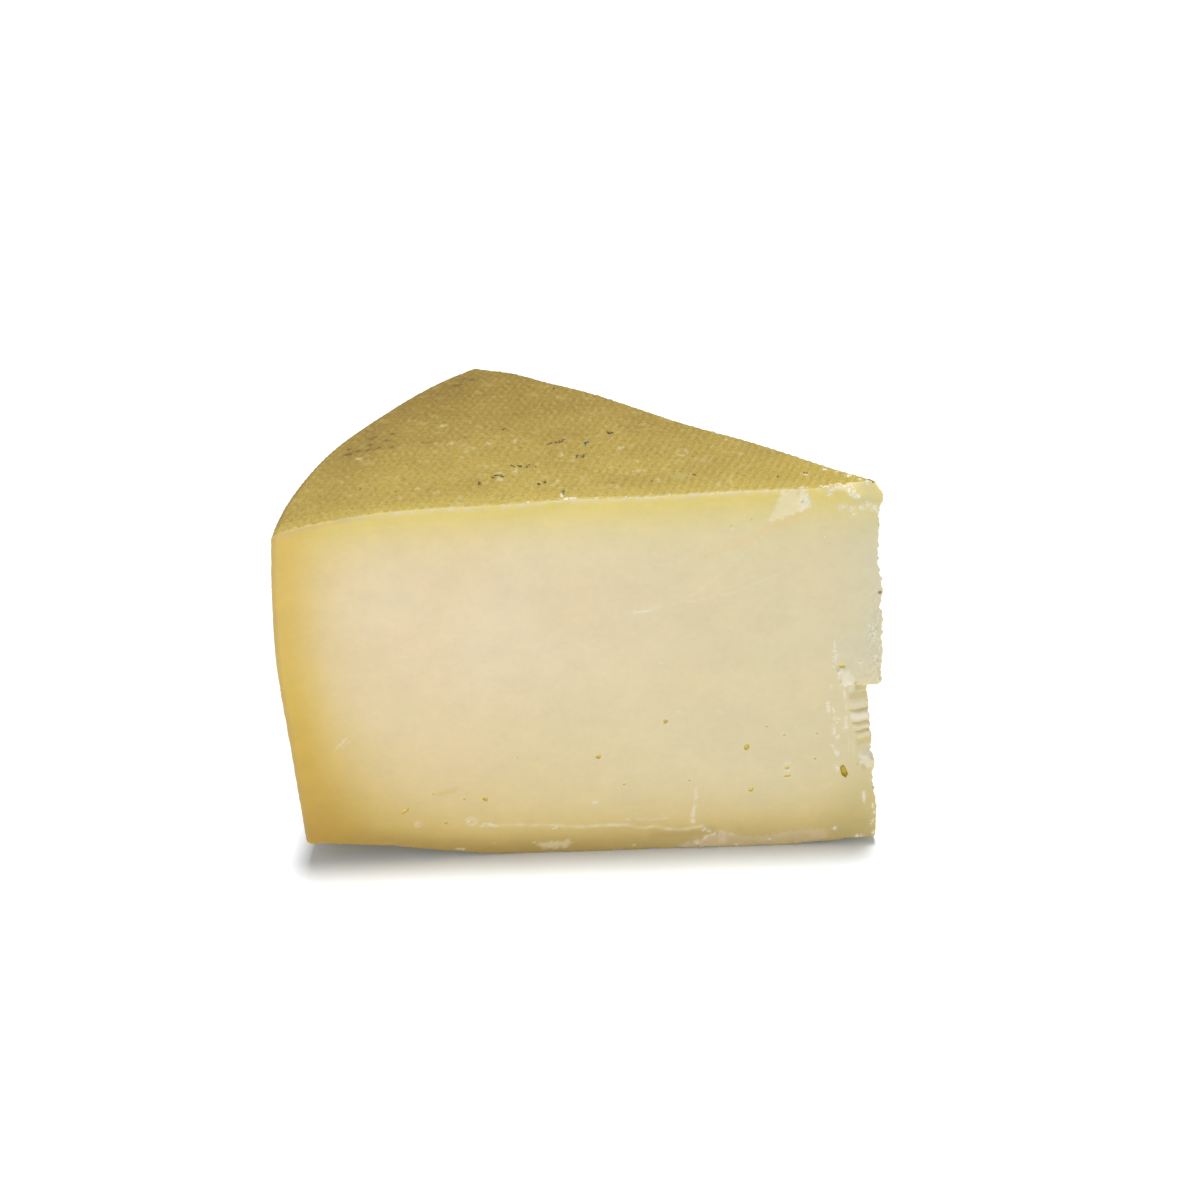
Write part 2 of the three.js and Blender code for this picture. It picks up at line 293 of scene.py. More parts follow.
# %% Ridges of the print
THREAD_PITCH = 2.13
FIRST_THREADS = math.radians(159.4)
SECOND_THREADS = math.radians(22.3)
PRINT_DEPTH = 0.17
CLOTH_WAVER = 0.45
RIDGE_FULLNESS = 0.65
STRAND_SHARE = 0.28
PRESSED = 0.72
PRESSED_PATCHES = ((0.34, 5.5, 7), (0.28, 2.7, 11))
PRESSED_LIMITS = (0.05, 1.35)


def thread_print(along_x, along_y, balance, seed):
    """Relief of the two thread sets in a flat rind, from -1 to 1. balance is the share of the second."""
    waver = CLOTH_WAVER * wander((along_x, along_y), 30.0, seed)
    relief = 0.0
    for number, (angle, share) in enumerate(((FIRST_THREADS, 1 - balance), (SECOND_THREADS, balance))):
        across = along_x * math.cos(angle) + along_y * math.sin(angle)
        turn = 2 * math.pi * (across + waver) / THREAD_PITCH
        ridge = 2 * (0.5 + 0.5 * np.cos(turn)) ** RIDGE_FULLNESS - 1
        strand = STRAND_SHARE * np.cos(2 * turn + 1.5 * wander((along_x, along_y), 9.0, seed + 3))
        pressed = PRESSED
        for uneven, length, apart in PRESSED_PATCHES:
            pressed = pressed + uneven * wander((along_x, along_y), length, seed + apart + number)
        relief = relief + share * np.clip(pressed, *PRESSED_LIMITS) * (ridge + strand)
    return relief


print("print depth", 2 * PRINT_DEPTH, "mm at a pitch of", THREAD_PITCH, "mm")

# %% The print on the upper face
SECOND_SHARE = 0.18
SECOND_SHARE_GAIN = 0.27
SECOND_SHARE_SPAN = (55, 110)
WORN_HALFWAY = 0.25
WORN_HALFWAY_SPAN = (40, 75)
WORN_AT_RIM = 0.2
WORN_AT_RIM_SPAN = (126, 148)
GRAIN_SHARE = 0.34
GRAIN_LENGTH = 1.9
GRAIN_SPAN = (30, 70)


def face_print(x, y):
    """Relief of the print on the upper face, in millimetres."""
    radius = wheel_radius_at(x, y)
    balance = SECOND_SHARE + SECOND_SHARE_GAIN * smoothstep(*SECOND_SHARE_SPAN, radius)
    worn = 1 - WORN_HALFWAY * smoothstep(*WORN_HALFWAY_SPAN, radius)
    worn = worn - WORN_AT_RIM * smoothstep(*WORN_AT_RIM_SPAN, radius)
    grains = smoothstep(*GRAIN_SPAN, radius) * wander((x, y), GRAIN_LENGTH, 27, waves=16)
    return PRINT_DEPTH * (worn * thread_print(x, y, balance, 5) + GRAIN_SHARE * grains)


print("relief of the print near the point:", face_print(np.arange(-30.0, -26.0), 5.0).round(2))

# %% [markdown]
# ## Solids from sculpted sheets
#
# Every surface of the wedge is a sheet of points: the two faces, the heel and the cuts. To cut with a
# sheet it has to be the front of a solid slab, so one helper gives a sheet straight sides and a flat
# back. Where the slabs overlap is the cheese. This is how a wedge comes about, and a Boolean along a
# printed sheet gives the true saw edge for nothing. Each slab's faces keep their own material slot.

# %% Slabs and how they cut
PASTE, RIND, EYE = 0, 1, 2
skin_materials = [bpy.data.materials.new(name) for name in ("cut_paste", "printed_rind", "opened_eye")]


def mesh_object(name, points, faces, slot):
    """A mesh object from points in millimetres, its faces turned outward and given one slot."""
    mesh = bpy.data.meshes.new(name)
    mesh.from_pydata(to_metres(points), [], faces)
    for material in skin_materials:
        mesh.materials.append(material)
    mesh.polygons.foreach_set("material_index", [slot] * len(mesh.polygons))
    form = bmesh.new()
    form.from_mesh(mesh)
    if form.calc_volume(signed=True) < 0:
        bmesh.ops.reverse_faces(form, faces=form.faces)
    form.to_mesh(mesh)
    form.free()
    piece = bpy.data.objects.new(name, mesh)
    bpy.context.scene.collection.objects.link(piece)
    return piece


def slab(name, sheet, axis, back_at, slot):
    """A closed solid whose front is a sheet of points (rows, columns, 3) and whose back is flat."""
    rows, columns = sheet.shape[:2]
    index = np.arange(rows * columns).reshape(rows, columns)
    quads = np.stack([index[:-1, :-1], index[:-1, 1:], index[1:, 1:], index[1:, :-1]], -1)
    rim = np.concatenate([index[0, :-1], index[:-1, -1], index[-1, :0:-1], index[:0:-1, 0]])
    behind = sheet.reshape(-1, 3)[rim].copy()
    behind[:, axis] = back_at
    echo = np.arange(len(rim)) + rows * columns
    following = np.roll(np.arange(len(rim)), -1)
    sides = np.stack([rim[following], rim, echo, echo[following]], -1)
    points = np.concatenate([sheet.reshape(-1, 3), behind])
    faces = quads.reshape(-1, 4).tolist() + sides.tolist() + [echo[::-1].tolist()]
    return mesh_object(name, points, faces, slot)


def combine(piece, other, operation):
    """Cuts, joins or crosses piece with other, and removes other."""
    boolean = piece.modifiers.new("combine", "BOOLEAN")
    boolean.operation = operation
    boolean.solver = "MANIFOLD"
    boolean.object = other
    settled = bpy.data.meshes.new_from_object(piece.evaluated_get(bpy.context.evaluated_depsgraph_get()))
    piece.modifiers.remove(boolean)
    stale = [piece.data, other.data]
    piece.data = settled
    bpy.data.objects.remove(other)
    for mesh in stale:
        bpy.data.meshes.remove(mesh)
    return piece


print("skins:", ", ".join(material.name for material in skin_materials))

# %% [markdown]
# ## The rind: upper face, base and heel
#
# The sheet of the upper face is not laid out square to the wedge. Its rows follow the stronger ridges,
# with five rows to each pitch, so every ridge is drawn alike and none of them flickers. The heel is a
# sheet over bearing and height, and its rows crowd together at the rim and the foot, where it turns in.
# The base and the heel carry the print too, pressed less deeply, because the whole mould was lined.

# %% Make the upper face
ROWS_PER_THREAD = 5
ALONG_STEP = 0.62
SHEET_ACROSS = (-10, 170)
SHEET_ALONG = (-72, 76)
REACH = 24.0
CLEAR = 20.0


def ridge_sheet(row_step, along_step):
    """x and y over the whole wedge, in rows that follow the stronger ridges."""
    across = np.arange(*SHEET_ACROSS, row_step)
    along = np.arange(*SHEET_ALONG, along_step)
    across, along = np.meshgrid(across, along, indexing="ij")
    x = across * math.cos(FIRST_THREADS) + along * math.sin(FIRST_THREADS)
    y = across * math.sin(FIRST_THREADS) - along * math.cos(FIRST_THREADS)
    return x, y


x, y = ridge_sheet(THREAD_PITCH / ROWS_PER_THREAD, ALONG_STEP)
z = face_height(x, y) + face_print(x, y)
wedge = slab("cheese", np.stack([x, y, z], -1), 2, -CLEAR, RIND)
print("upper face:", len(wedge.data.polygons), "faces")

# %% Make the base
BASE_STEP = 1.1
BASE_PRINT = 0.5
BASE_BALANCE = 0.45

x, y = ridge_sheet(BASE_STEP, BASE_STEP)
under = base_height(x, y) + BASE_PRINT * PRINT_DEPTH * thread_print(x, -y, BASE_BALANCE, 23)
under = np.maximum(under, 0.0)
combine(wedge, slab("base", np.stack([x, y, under], -1), 2, FACE_HEIGHT + CLEAR, RIND), "INTERSECT")
print("upper face and base:", len(wedge.data.polygons), "faces")

# %% Make the heel
HEEL_STEP = 0.62
TURNING_STEP = 0.24
HEEL_TURN = (math.radians(124), math.radians(184))
HEEL_PRINT = 0.8
HEEL_BALANCE = 0.5
RIM_ROUNDING = 1.6


def spans(*parts):
    """Places along a line from a few spans, each given as its start, end and step."""
    return np.concatenate([np.arange(*part) for part in parts])


def rounding_inset(from_edge):
    """How far a rounded edge has drawn in, by the height left to the flat beyond it."""
    left = np.clip(1 - from_edge / RIM_ROUNDING, 0, 1)
    return RIM_ROUNDING * (1 - np.sqrt(1 - left**2))


height = spans((-1.6, 7, TURNING_STEP), (7, 97, HEEL_STEP), (97, 106, TURNING_STEP), (106, 120, 2))
angle = np.arange(*HEEL_TURN, HEEL_STEP / WHEEL_RADIUS)
angle, height = np.meshgrid(angle, height, indexing="ij")
rim_x = CENTRE[0] + (WHEEL_RADIUS - RIM_ROUNDING) * np.cos(angle)
rim_y = CENTRE[1] + (WHEEL_RADIUS - RIM_ROUNDING) * np.sin(angle)
to_face = face_height(rim_x, rim_y) - height
to_base = height - base_height(rim_x, rim_y)
radius = heel_radius(angle, height) - rounding_inset(to_face) - rounding_inset(to_base)
radius += HEEL_PRINT * PRINT_DEPTH * thread_print(angle * WHEEL_RADIUS, height, HEEL_BALANCE, 37)
x, y = CENTRE[0] + radius * np.cos(angle), CENTRE[1] + radius * np.sin(angle)
combine(wedge, slab("heel", np.stack([x, y, height], -1), 0, REACH, RIND), "INTERSECT")
print("wheel sector:", len(wedge.data.polygons), "faces")

# %% [markdown]
# ## Flakes on the cut
#
# A blunt knife lifts thin flakes and lays them back on the cut. Each one has an outline, given as x and
# z, and stands a little proud inside it. The outline is made ragged with two sizes of random waves, so
# its edge looks torn and not drawn. The thickness wanders too, or a flake would look like a sticker.

# %% Outline the flakes
FLAKES = {
    "torn_flap": (
        0.6,
        (
            (-10.4, 66), (-9.7, 59), (-8.2, 57.6), (-9.1, 55), (-8.5, 52.6), (-6.6, 51.9), (-4.6, 53),
            (-2, 51.7), (2.6, 53.9), (2, 58), (2.2, 63), (0.8, 67.5), (-5, 68.4),
        ),
    ),
    "loose_lip": (
        0.65,
        (
            (-9.3, 57.2), (-8.7, 55), (-8.2, 52.8), (-7, 51.8), (-5.6, 51.9), (-4.5, 52.9), (-4.1, 54.4),
            (-5.1, 56.3), (-6.4, 57.2), (-8.4, 57.9),
        ),
    ),
    "foot_fold": (0.6, ((-51.8, 0.8), (-49.1, 1.9), (-47.1, 2.3), (-40.6, 5.3), (-40.2, 0.6), (-47, 0.3))),
    "foot_flake": (
        0.35,
        (
            (-40.4, 0.6), (-40.6, 5.2), (-38, 4.6), (-33.6, 3.2), (-29, 2.6), (-23.7, 3.9), (-18, 4.7),
            (-11.3, 4.7), (-10.1, 3.7), (-10.4, 2.2), (-13.7, 1.2), (-20.8, 0.8), (-34, 0.5),
        ),
    ),
    "foot_smear": (
        0.32,
        (
            (-91.9, 2.7), (-89.9, 1.5), (-86.5, 1.6), (-83.1, 2), (-82.4, 3.1), (-83.3, 4), (-85.6, 3.6),
            (-89.8, 3.5),
        ),
    ),
    "rind_smear": (
        0.22,
        (
            (-25.4, 112.4), (-21.4, 112.5), (-21, 110.8), (-19.6, 109.4), (-19.2, 106.8), (-22, 105),
            (-26, 104), (-29, 103.6), (-27.4, 107.2),
        ),
    ),
    "smear_crust": (
        0.42,
        ((-20.9, 110.8), (-19.8, 111.5), (-18.9, 110.8), (-17.9, 109.1), (-18.2, 107.2), (-20.6, 106.4)),
    ),
    "nose_bulge": (
        0.35,
        ((-1.9, 29.5), (-0.5, 30.4), (1.5, 29.5), (2.2, 27), (1, 25.2), (-0.8, 25.5), (-1.8, 27)),
    ),
}
print("flakes:", ", ".join(FLAKES))

# %% Raise the flakes
FLAKE_EDGE = 0.45
FLAP_FADES_UP = (54, 67)
FLAP_FADES_LEFT = (-11, -5)


def off_path(x, z, path):
    """Distance from an open path."""
    nearest = np.full(np.shape(x), np.inf)
    for (ax, az), (bx, bz) in zip(path, path[1:]):
        run, rise = bx - ax, bz - az
        t = np.clip(((x - ax) * run + (z - az) * rise) / (run * run + rise * rise), 0, 1)
        nearest = np.minimum(nearest, np.hypot(x - ax - t * run, z - az - t * rise))
    return nearest


def depth_inside(x, z, outline):
    """Distance in from a closed outline, negative outside it."""
    closed = outline + outline[:1]
    inside = np.zeros(x.shape, bool)
    for (ax, az), (bx, bz) in zip(closed, closed[1:]):
        if az != bz:
            crosses = (az > z) != (bz > z)
            inside ^= crosses & (x < ax + (z - az) * (bx - ax) / (bz - az))
    nearest = off_path(x, z, closed)
    return np.where(inside, nearest, -nearest)


def flake_depth(name, x, z):
    """Distance in from the ragged edge of a flake."""
    ragged = rough((x, z), (0.3, 2.2, 101), (0.16, 0.95, 103))
    return depth_inside(x, z, FLAKES[name][1]) + ragged


def flake_relief(x, z):
    """How far the flakes raise the front cut."""
    rise = 0.0
    uneven = 1 + rough((x, z), (0.2, 4.0, 105), (0.1, 1.4, 107))
    for name, (proud, _) in FLAKES.items():
        thick = proud * uneven * smoothstep(-0.1, FLAKE_EDGE, flake_depth(name, x, z))
        if name == "torn_flap":
            thick = thick * (1 - smoothstep(*FLAP_FADES_UP, z)) * smoothstep(*FLAP_FADES_LEFT, x)
        rise = np.maximum(rise, thick)
    return rise


print("thickest flake stands", max(proud for proud, _ in FLAKES.values()), "mm proud")

# %% [markdown]
# The knife's point and its nicks also drew a few fine lines on the cut. Each is a thin raised thread
# along a short path, with a strength of its own, and it breaks off here and there. Cheese dust stays on
# such lines, so they are painted paler as well.

# %% Draw the knife lines
KNIFE_LINES = (
    (0.35, ((-64, 77.2), (-60, 77.7))),
    (0.12, ((-60, 77.7), (-50, 80.5), (-42, 87), (-34, 95), (-29, 100))),
    (0.14, ((-50, 79.5), (-38, 82), (-25, 88))),
    (0.3, ((-47.8, 7.4), (-47.9, 8.8), (-48.3, 12.2), (-47.6, 15.2), (-47.5, 20))),
    (0.28, ((-48.3, 8), (-48.6, 10.5), (-47.9, 13.5))),
    (0.22, ((-47.2, 14), (-47.1, 17.5))),
    (0.25, ((-53, 45.9), (-51.2, 45.2))),
    (0.2, ((-57.4, 61.2), (-56, 62))),
    (0.25, ((-146.2, 36.8), (-143.2, 40.2))),
    (0.2, ((-144.2, 37.2), (-142.4, 39))),
    (0.2, ((-67, 10.5), (-60, 10.1), (-55, 10.4))),
    (0.18, ((-41.5, 45.2), (-39.8, 44.5))),
    (0.4, ((-47.1, 2.3), (-44.5, 3.7), (-41.7, 5.1))),
    (0.25, ((-40.6, 5.3), (-36.4, 4.2))),
    (0.4, ((-0.6, 17.4), (-0.3, 14.2))),
    (0.35, ((-7.2, 50.7), (-6.7, 47.4), (-6.3, 42.5), (-6.2, 38.7))),
)
LINE_WIDTH = 0.36
FULL_STRENGTH = 0.35


def knife_lines(x, z):
    """Strength of the knife lines, from 0 to 1."""
    broken = smoothstep(-0.9, 0.3, wander((x, z), 3.0, 121))
    strength = 0.0
    for pressure, path in KNIFE_LINES:
        line = np.exp(-((off_path(x, z, path) / LINE_WIDTH) ** 2))
        strength = strength + pressure / FULL_STRENGTH * line
    return np.clip(strength * broken, 0, 1)


print("knife lines:", len(KNIFE_LINES))

# %% [markdown]
# Crumbs that were dragged along the cut lie on it as small pale flecks, most of them near the torn nose.
# Each is an ellipse, given as its middle, width, height and tilt, and the same two sizes of waves nibble
# its edge. Beside the point itself the paste is crumbled all over, which is rough relief and no outline.

# %% Scatter the flecks of the cut
FLECKS = (
    (-10.6, 51.8, 0.8, 1.5, 10),
    (-11.4, 45.4, 1.2, 5.0, 5),
    (-9.9, 44.2, 0.8, 2.0, 20),
    (-9.1, 41.6, 2.1, 0.8, -12),
    (-9.5, 37.8, 0.8, 3.6, 10),
    (-8.5, 35.5, 2.0, 1.5, 30),
    (-9.8, 33.0, 0.9, 2.4, 15),
    (-8.6, 30.6, 1.8, 3.0, 25),
    (-6.2, 38.6, 1.6, 0.8, 0),
    (-4.6, 44.2, 0.8, 0.8, 0),
    (-8.1, 25.4, 1.6, 0.9, -20),
    (-10.3, 65.2, 0.8, 2.8, -5),
    (-9.8, 61.6, 0.8, 2.8, -10),
    (-0.6, 16.0, 0.5, 3.0, 0),
    (-107.2, 10.0, 1.6, 0.6, -10),
    (-104.9, 10.6, 3.2, 0.9, -12),
    (-86.6, 8.7, 2.0, 0.6, 25),
    (-75.6, 16.5, 1.4, 0.9, 20),
    (-62, 77.4, 4.0, 0.6, 5),
    (-22, 25.0, 1.5, 0.7, 0),
    (-114.2, 2.5, 3.8, 0.6, -8),
    (-103.8, 4.0, 0.6, 0.5, 0),
    (-92.6, 3.8, 0.8, 0.5, 0),
    (-64.8, 1.6, 0.7, 0.5, 0),
    (-26.2, 2.3, 2.0, 0.5, -15),
    (-8.3, 5.3, 1.0, 0.9, 0),
)


def flecks(x, z):
    """Where the small pale flecks lie on the front cut, from 0 to 1."""
    ragged = rough((x, z), (0.3, 1.5, 131), (0.2, 0.7, 133))
    cover = 0.0
    for middle_x, middle_z, width, tall, tilt in FLECKS:
        lean = math.radians(tilt)
        across = (x - middle_x) * math.cos(lean) + (z - middle_z) * math.sin(lean)
        along = (z - middle_z) * math.cos(lean) - (x - middle_x) * math.sin(lean)
        reach = np.hypot(across / (0.5 * width), along / (0.5 * tall))
        cover = np.maximum(cover, smoothstep(-0.1, 0.5, 1 - reach + ragged))
    return cover


def crumbled(x, z):
    """Rough relief of the paste beside the point, from about -1 to 1."""
    near_point = smoothstep(-3.5, 0.5, x) * smoothstep(50, 54, z) * (1 - smoothstep(83, 88, z))
    return near_point * rough((x, z), (0.6, 1.9, 135), (0.6, 0.95, 137))


print("flecks on the cut:", len(FLECKS))

# %% [markdown]
# ## The two cuts and the nose
#
# A long knife flexes, so the front cut is flat only to a third of a millimetre. The back cut wandered
# more, and leaned outward on its way down, which leaves the wedge a little thicker at its base. Near
# the foot the front cut carries a thin raised burr, which follows a line of a few knots.

# %% Relief of the front cut
BURR_LINE = (
    (-108, 10.3), (-97, 9.9), (-88, 9.6), (-82, 8.7), (-71, 8.9), (-67, 8.6), (-63, 7.4), (-59, 7.8),
    (-56, 6.8), (-52, 6.3), (-49, 6.8), (-45.5, 7.4),
)
BURR_WIDTH = 0.5
BURR_PROUD = 0.16
LINE_PROUD = 0.1
FLECK_PROUD = 0.14
CRUMBLED_PROUD = 0.14
KNIFE_FLEX = 0.16


def burr(x, z):
    """The ragged burr that the knife turned up along the lower part of the front cut, from 0 to 1."""
    place, height = np.array(BURR_LINE, float).T
    off = z - np.interp(x, place, height) - 0.14 * wander((x, 0 * z), 3.1, 57)
    within = smoothstep(-111, -106, x) * (1 - smoothstep(-46, -44, x))
    within = within * (0.7 + 0.3 * smoothstep(-79, -74, x))
    broken = 0.5 + 0.5 * smoothstep(-0.4, 0.5, wander((x, 0 * z), 5.0, 58))
    return np.exp(-((off / BURR_WIDTH) ** 2)) * within * broken


def front_relief(x, z):
    """How far the front cut stands in front of its plane."""
    flex = KNIFE_FLEX * wander((x, z), 46.0, 51)
    chatter = 0.014 * wander((0.12 * x, z), 2.6, 53) + 0.01 * wander((0.5 * x, z), 1.4, 55)
    lying = BURR_PROUD * burr(x, z) + LINE_PROUD * knife_lines(x, z)
    lying = lying + FLECK_PROUD * flecks(x, z) + flake_relief(x, z)
    return np.minimum(flex + chatter + lying + CRUMBLED_PROUD * crumbled(x, z), LIP_PROUD)


up_front = spans((-3, 12, 0.42), (12, 104, 0.6), (104, 118, 0.4))
along_front = spans((-180, -54, 0.8), (-54, -30, 0.6), (-30, -14, 0.45), (-14, 9, 0.3))
x, height = np.meshgrid(along_front, up_front, indexing="ij")
front = np.stack([x, -front_relief(x, height), height], -1)
print("the front cut stands", round(float(-front[..., 1].min()), 2), "mm proud at most")

# %% Make both cuts
WEDGE_ANGLE = math.radians(43.45)
POINT_AT_TOP = 2.6
BACK_CUT_LEAN = 0.045
FAR_BEHIND = 150.0
FAR_IN_FRONT = -60.0
BACK_CUT_SWAY = (
    (0, 0), (20, -1.2), (42, -1.1), (72, -2.1), (95, -2.2), (117, -2.6), (132, -1.7), (143, -1.9),
    (152, -1.4), (190, -1.2),
)


def back_cut_at(distance, height):
    """Places on the back cut, by the distance from its own point and the height."""
    outward = smooth_through(BACK_CUT_SWAY, np.clip(distance, 0, BACK_CUT_SWAY[-1][0]))
    outward = outward + KNIFE_FLEX * wander((distance, height), 40.0, 61)
    outward = outward + 0.05 * wander((0.15 * distance, height), 3.1, 63)
    point_x = POINT_AT_TOP + BACK_CUT_LEAN * (FACE_HEIGHT - height)
    x = point_x - distance * math.cos(WEDGE_ANGLE) + outward * math.sin(WEDGE_ANGLE)
    y = distance * math.sin(WEDGE_ANGLE) + outward * math.cos(WEDGE_ANGLE)
    return x, y


combine(wedge, slab("front_cut", front, 1, FAR_BEHIND, PASTE), "INTERSECT")

along_back = spans((-9, 14, 0.5), (14, 160, 1.1), (160, 244, 6))
distance, height = np.meshgrid(along_back, spans((-3, 118, 0.9)), indexing="ij")
x, y = back_cut_at(distance, height)
combine(wedge, slab("back_cut", np.stack([x, y, height], -1), 1, FAR_IN_FRONT, PASTE), "INTERSECT")
print("between the cuts:", len(wedge.data.polygons), "faces")

# %% [markdown]
# Where the cuts meet, the last millimetres did not part cleanly: the nose is a narrow, ragged strip. Its
# edge is a sheet too, which follows a list of heights and reaches with fine torn roughness on top. Below
# its middle the knife dragged and broke out an oblique facet, in level rolls with sharp creases between
# them. And the very corner, at the top, is chipped off.

# %% Make the ragged nose
NOSE_EDGE = (
    (-3, 3.3), (2, 3.2), (11, 3.3), (17, 2.2), (19, 1.6), (22, 1.5), (24.5, 1.7), (26.5, 2.3),
    (28.6, 0.9), (30.6, 0.6), (32.5, 0.9), (34.9, 0.9), (37.6, 0.3), (40.1, 0.2), (43.2, -0.5),
    (45.6, -0.35), (48.2, -0.8), (51.0, -0.8), (52.7, 2.9), (56.5, 2.4), (59, 2.6), (63, 2.9), (66, 2.2),
    (70, 2.3), (74, 2.3), (76, 1.1), (78.5, 1.5), (81, 2.0), (84, 1.5), (89.5, 0.2), (97, 0.05),
    (105.5, 0.0), (108, 0.9), (110, 1.2), (119, 1.0),
)
NOSE_STEP = 0.34

depth, height = np.meshgrid(np.arange(-6, 14, NOSE_STEP), np.arange(-3, 118, NOSE_STEP), indexing="ij")
edge_height, edge_reach = np.array(NOSE_EDGE).T
torn = rough((depth, height), (0.24, 2.4, 71), (0.12, 1.1, 73))
reach = np.minimum(np.interp(height, edge_height, edge_reach) + torn, NOSE_REACH)
combine(wedge, slab("nose", np.stack([reach, depth, height], -1), 0, REACH, PASTE), "DIFFERENCE")
print("with its ragged nose:", len(wedge.data.polygons), "faces")

# %% Break the nose
BREAK_EDGE = (
    (27, -2.2), (30, -2.5), (33, -3.0), (36, -3.6), (38.5, -4.4), (42, -5.3), (46, -5.7), (54, -6.0),
)
BREAK_TURN = math.radians(13)
BREAK_DEPTH = 0.25
BREAK_HEIGHTS = (26.2, 52.3)
ROLLS = (
    (26.0, 1.6), (28.5, 0.9), (30.0, 0.35), (31.8, 0.1), (32.9, -0.12), (33.8, -0.2), (34.7, -0.12),
    (35.2, 0.05), (35.9, 0.22), (36.6, 0.12), (37.1, -0.2), (37.7, 0.1), (38.6, 0.28), (39.3, 0.1),
    (39.8, -0.25), (40.4, 0.12), (41.5, 0.38), (42.6, 0.42), (43.4, 0.12), (43.9, -0.22), (44.5, 0.05),
    (45.6, 0.25), (47.0, 0.15), (48.6, -0.25), (50.2, -0.45), (52.5, -0.5),
)


def rolls(x, z):
    """How far the rolls of the break stand out: below zero in the creases, most on the tops."""
    return smooth_through(ROLLS, z - 0.25 * wander((x,), 6.0, 81))


def break_edge(z):
    """Where the break begins, at a height."""
    height, edge = np.array(BREAK_EDGE).T
    return np.interp(z, height, edge)


along, height = np.meshgrid(np.arange(-14, 24, 0.3), np.arange(*BREAK_HEIGHTS, 0.22), indexing="ij")
start_x = break_edge(height) + along * math.cos(BREAK_TURN)
rise = rolls(start_x, height) * (1 + 0.25 * wander((along, height), 6.0, 83)) * smoothstep(-0.6, 1.4, along)
out = rise - BREAK_DEPTH + 0.04 * wander((along, height), 1.3, 85)
x = start_x + out * math.sin(BREAK_TURN)
y = along * math.sin(BREAK_TURN) - out * math.cos(BREAK_TURN)
combine(wedge, slab("break", np.stack([x, y, height], -1), 1, -CLEAR, PASTE), "DIFFERENCE")
print("with its break:", len(wedge.data.polygons), "faces")

# %% Chip the corner of the nose
CHIP_FRONT = (
    (-26, 114.0), (-20, 113.3), (-13, 112.5), (-10, 112.0), (-8, 111.1), (-5.8, 110.0), (-2, 109.0),
    (1, 108.3), (8, 107.3),
)
CHIP_TOP = 112.9
CHIP_DEPTH = 3.1
CHIP_LEAST_SLOPE = 0.25
CHIP_STEP = 0.36

x, y = np.meshgrid(np.arange(-26, 8, CHIP_STEP), np.arange(-5, 13, CHIP_STEP), indexing="ij")
front_z = smooth_through(CHIP_FRONT, x)
slope = np.maximum(CHIP_LEAST_SLOPE, (CHIP_TOP - front_z) / CHIP_DEPTH)
z = front_z + slope * y + 0.1 * wander((x, y), 3.2, 91) + 0.04 * wander((x, y), 1.2, 93)
combine(wedge, slab("chip", np.stack([x, y, z], -1), 2, FACE_HEIGHT + CLEAR, PASTE), "DIFFERENCE")
print("with its chipped corner:", len(wedge.data.polygons), "faces")

# %% [markdown]
# ## The eyes
#
# The eyes are the small gas holes of the paste, opened by the knife. Each one is a dented ball, given as
# its middle, width, height and tilt, and half of it is cut away from the front. The largest are drawn
# out in depth. Inside an eye the paste is glossy and darker, so its faces get their own slot.

# %% List the eyes
EYES = (
    (-128.3, 15.8, 2.4, 1.2, 45),
    (-117.2, 11.5, 1.0, 1.1, 0),
    (-106, 19, 1.7, 1.3, -30),
    (-74.4, 31.7, 1.4, 1.3, 0),
    (-55.9, 42.6, 1.3, 1.3, 0),
    (-33.5, 33.2, 1.4, 1.9, -10),
    (-32, 19.2, 1.6, 1.2, 25),
    (-22.2, 26.1, 1.0, 1.3, 0),
    (-22, 23.5, 1.9, 1.0, 10),
    (-6.4, 24.3, 1.8, 4.4, 14),
    (-8.1, 58.5, 2.1, 1.1, 0),
    (-111.8, 19.3, 0.8, 0.7, 0),
    (-120.3, 21.3, 0.7, 0.5, 20),
    (-67.3, 22.4, 0.8, 0.7, 0),
    (-96.7, 32.3, 0.6, 0.5, 0),
    (-14.5, 28.8, 0.8, 0.6, 0),
    (-28, 39.8, 0.6, 0.7, 0),
    (-23.2, 36.8, 0.7, 0.7, 0),
    (-14.3, 37, 0.7, 0.6, 0),
    (-49.2, 23, 0.6, 0.6, 0),
    (1.2, 81, 0.8, 1.3, 0),
)
print("eyes:", len(EYES))

# %% Open the eyes
EYE_DENTS = 0.13
DEEP_FROM = 1.6
DEEPENING = 1.5
FIRST_EYE_SEED = 200


def small_ball(subdivisions):
    """Points and faces of a ball that is one millimetre across."""
    ball = bmesh.new()
    bmesh.ops.create_icosphere(ball, subdivisions=subdivisions, radius=0.5)
    points = np.array([vert.co[:] for vert in ball.verts])
    faces = [[vert.index for vert in face.verts] for face in ball.faces]
    ball.free()
    return points, faces


def eye_points(x, z, width, tall, tilt, seed):
    """Points of the dented ball that opens one eye, round a place on the front cut."""
    dented = 1 + EYE_DENTS * wander(tuple(ball_points.T), 0.7, seed)
    across = min(width, tall)
    deep = across * (DEEPENING if across > DEEP_FROM else 1.0)
    wide, through, up = (ball_points * dented[:, None] * (width, deep, tall)).T
    lean = math.radians(tilt)
    leaning_x = wide * math.cos(lean) - up * math.sin(lean)
    leaning_z = wide * math.sin(lean) + up * math.cos(lean)
    on_cut = -float(front_relief(np.array([x]), np.array([z]))[0])
    return np.stack([leaning_x, through, leaning_z], -1) + (x, on_cut, z)


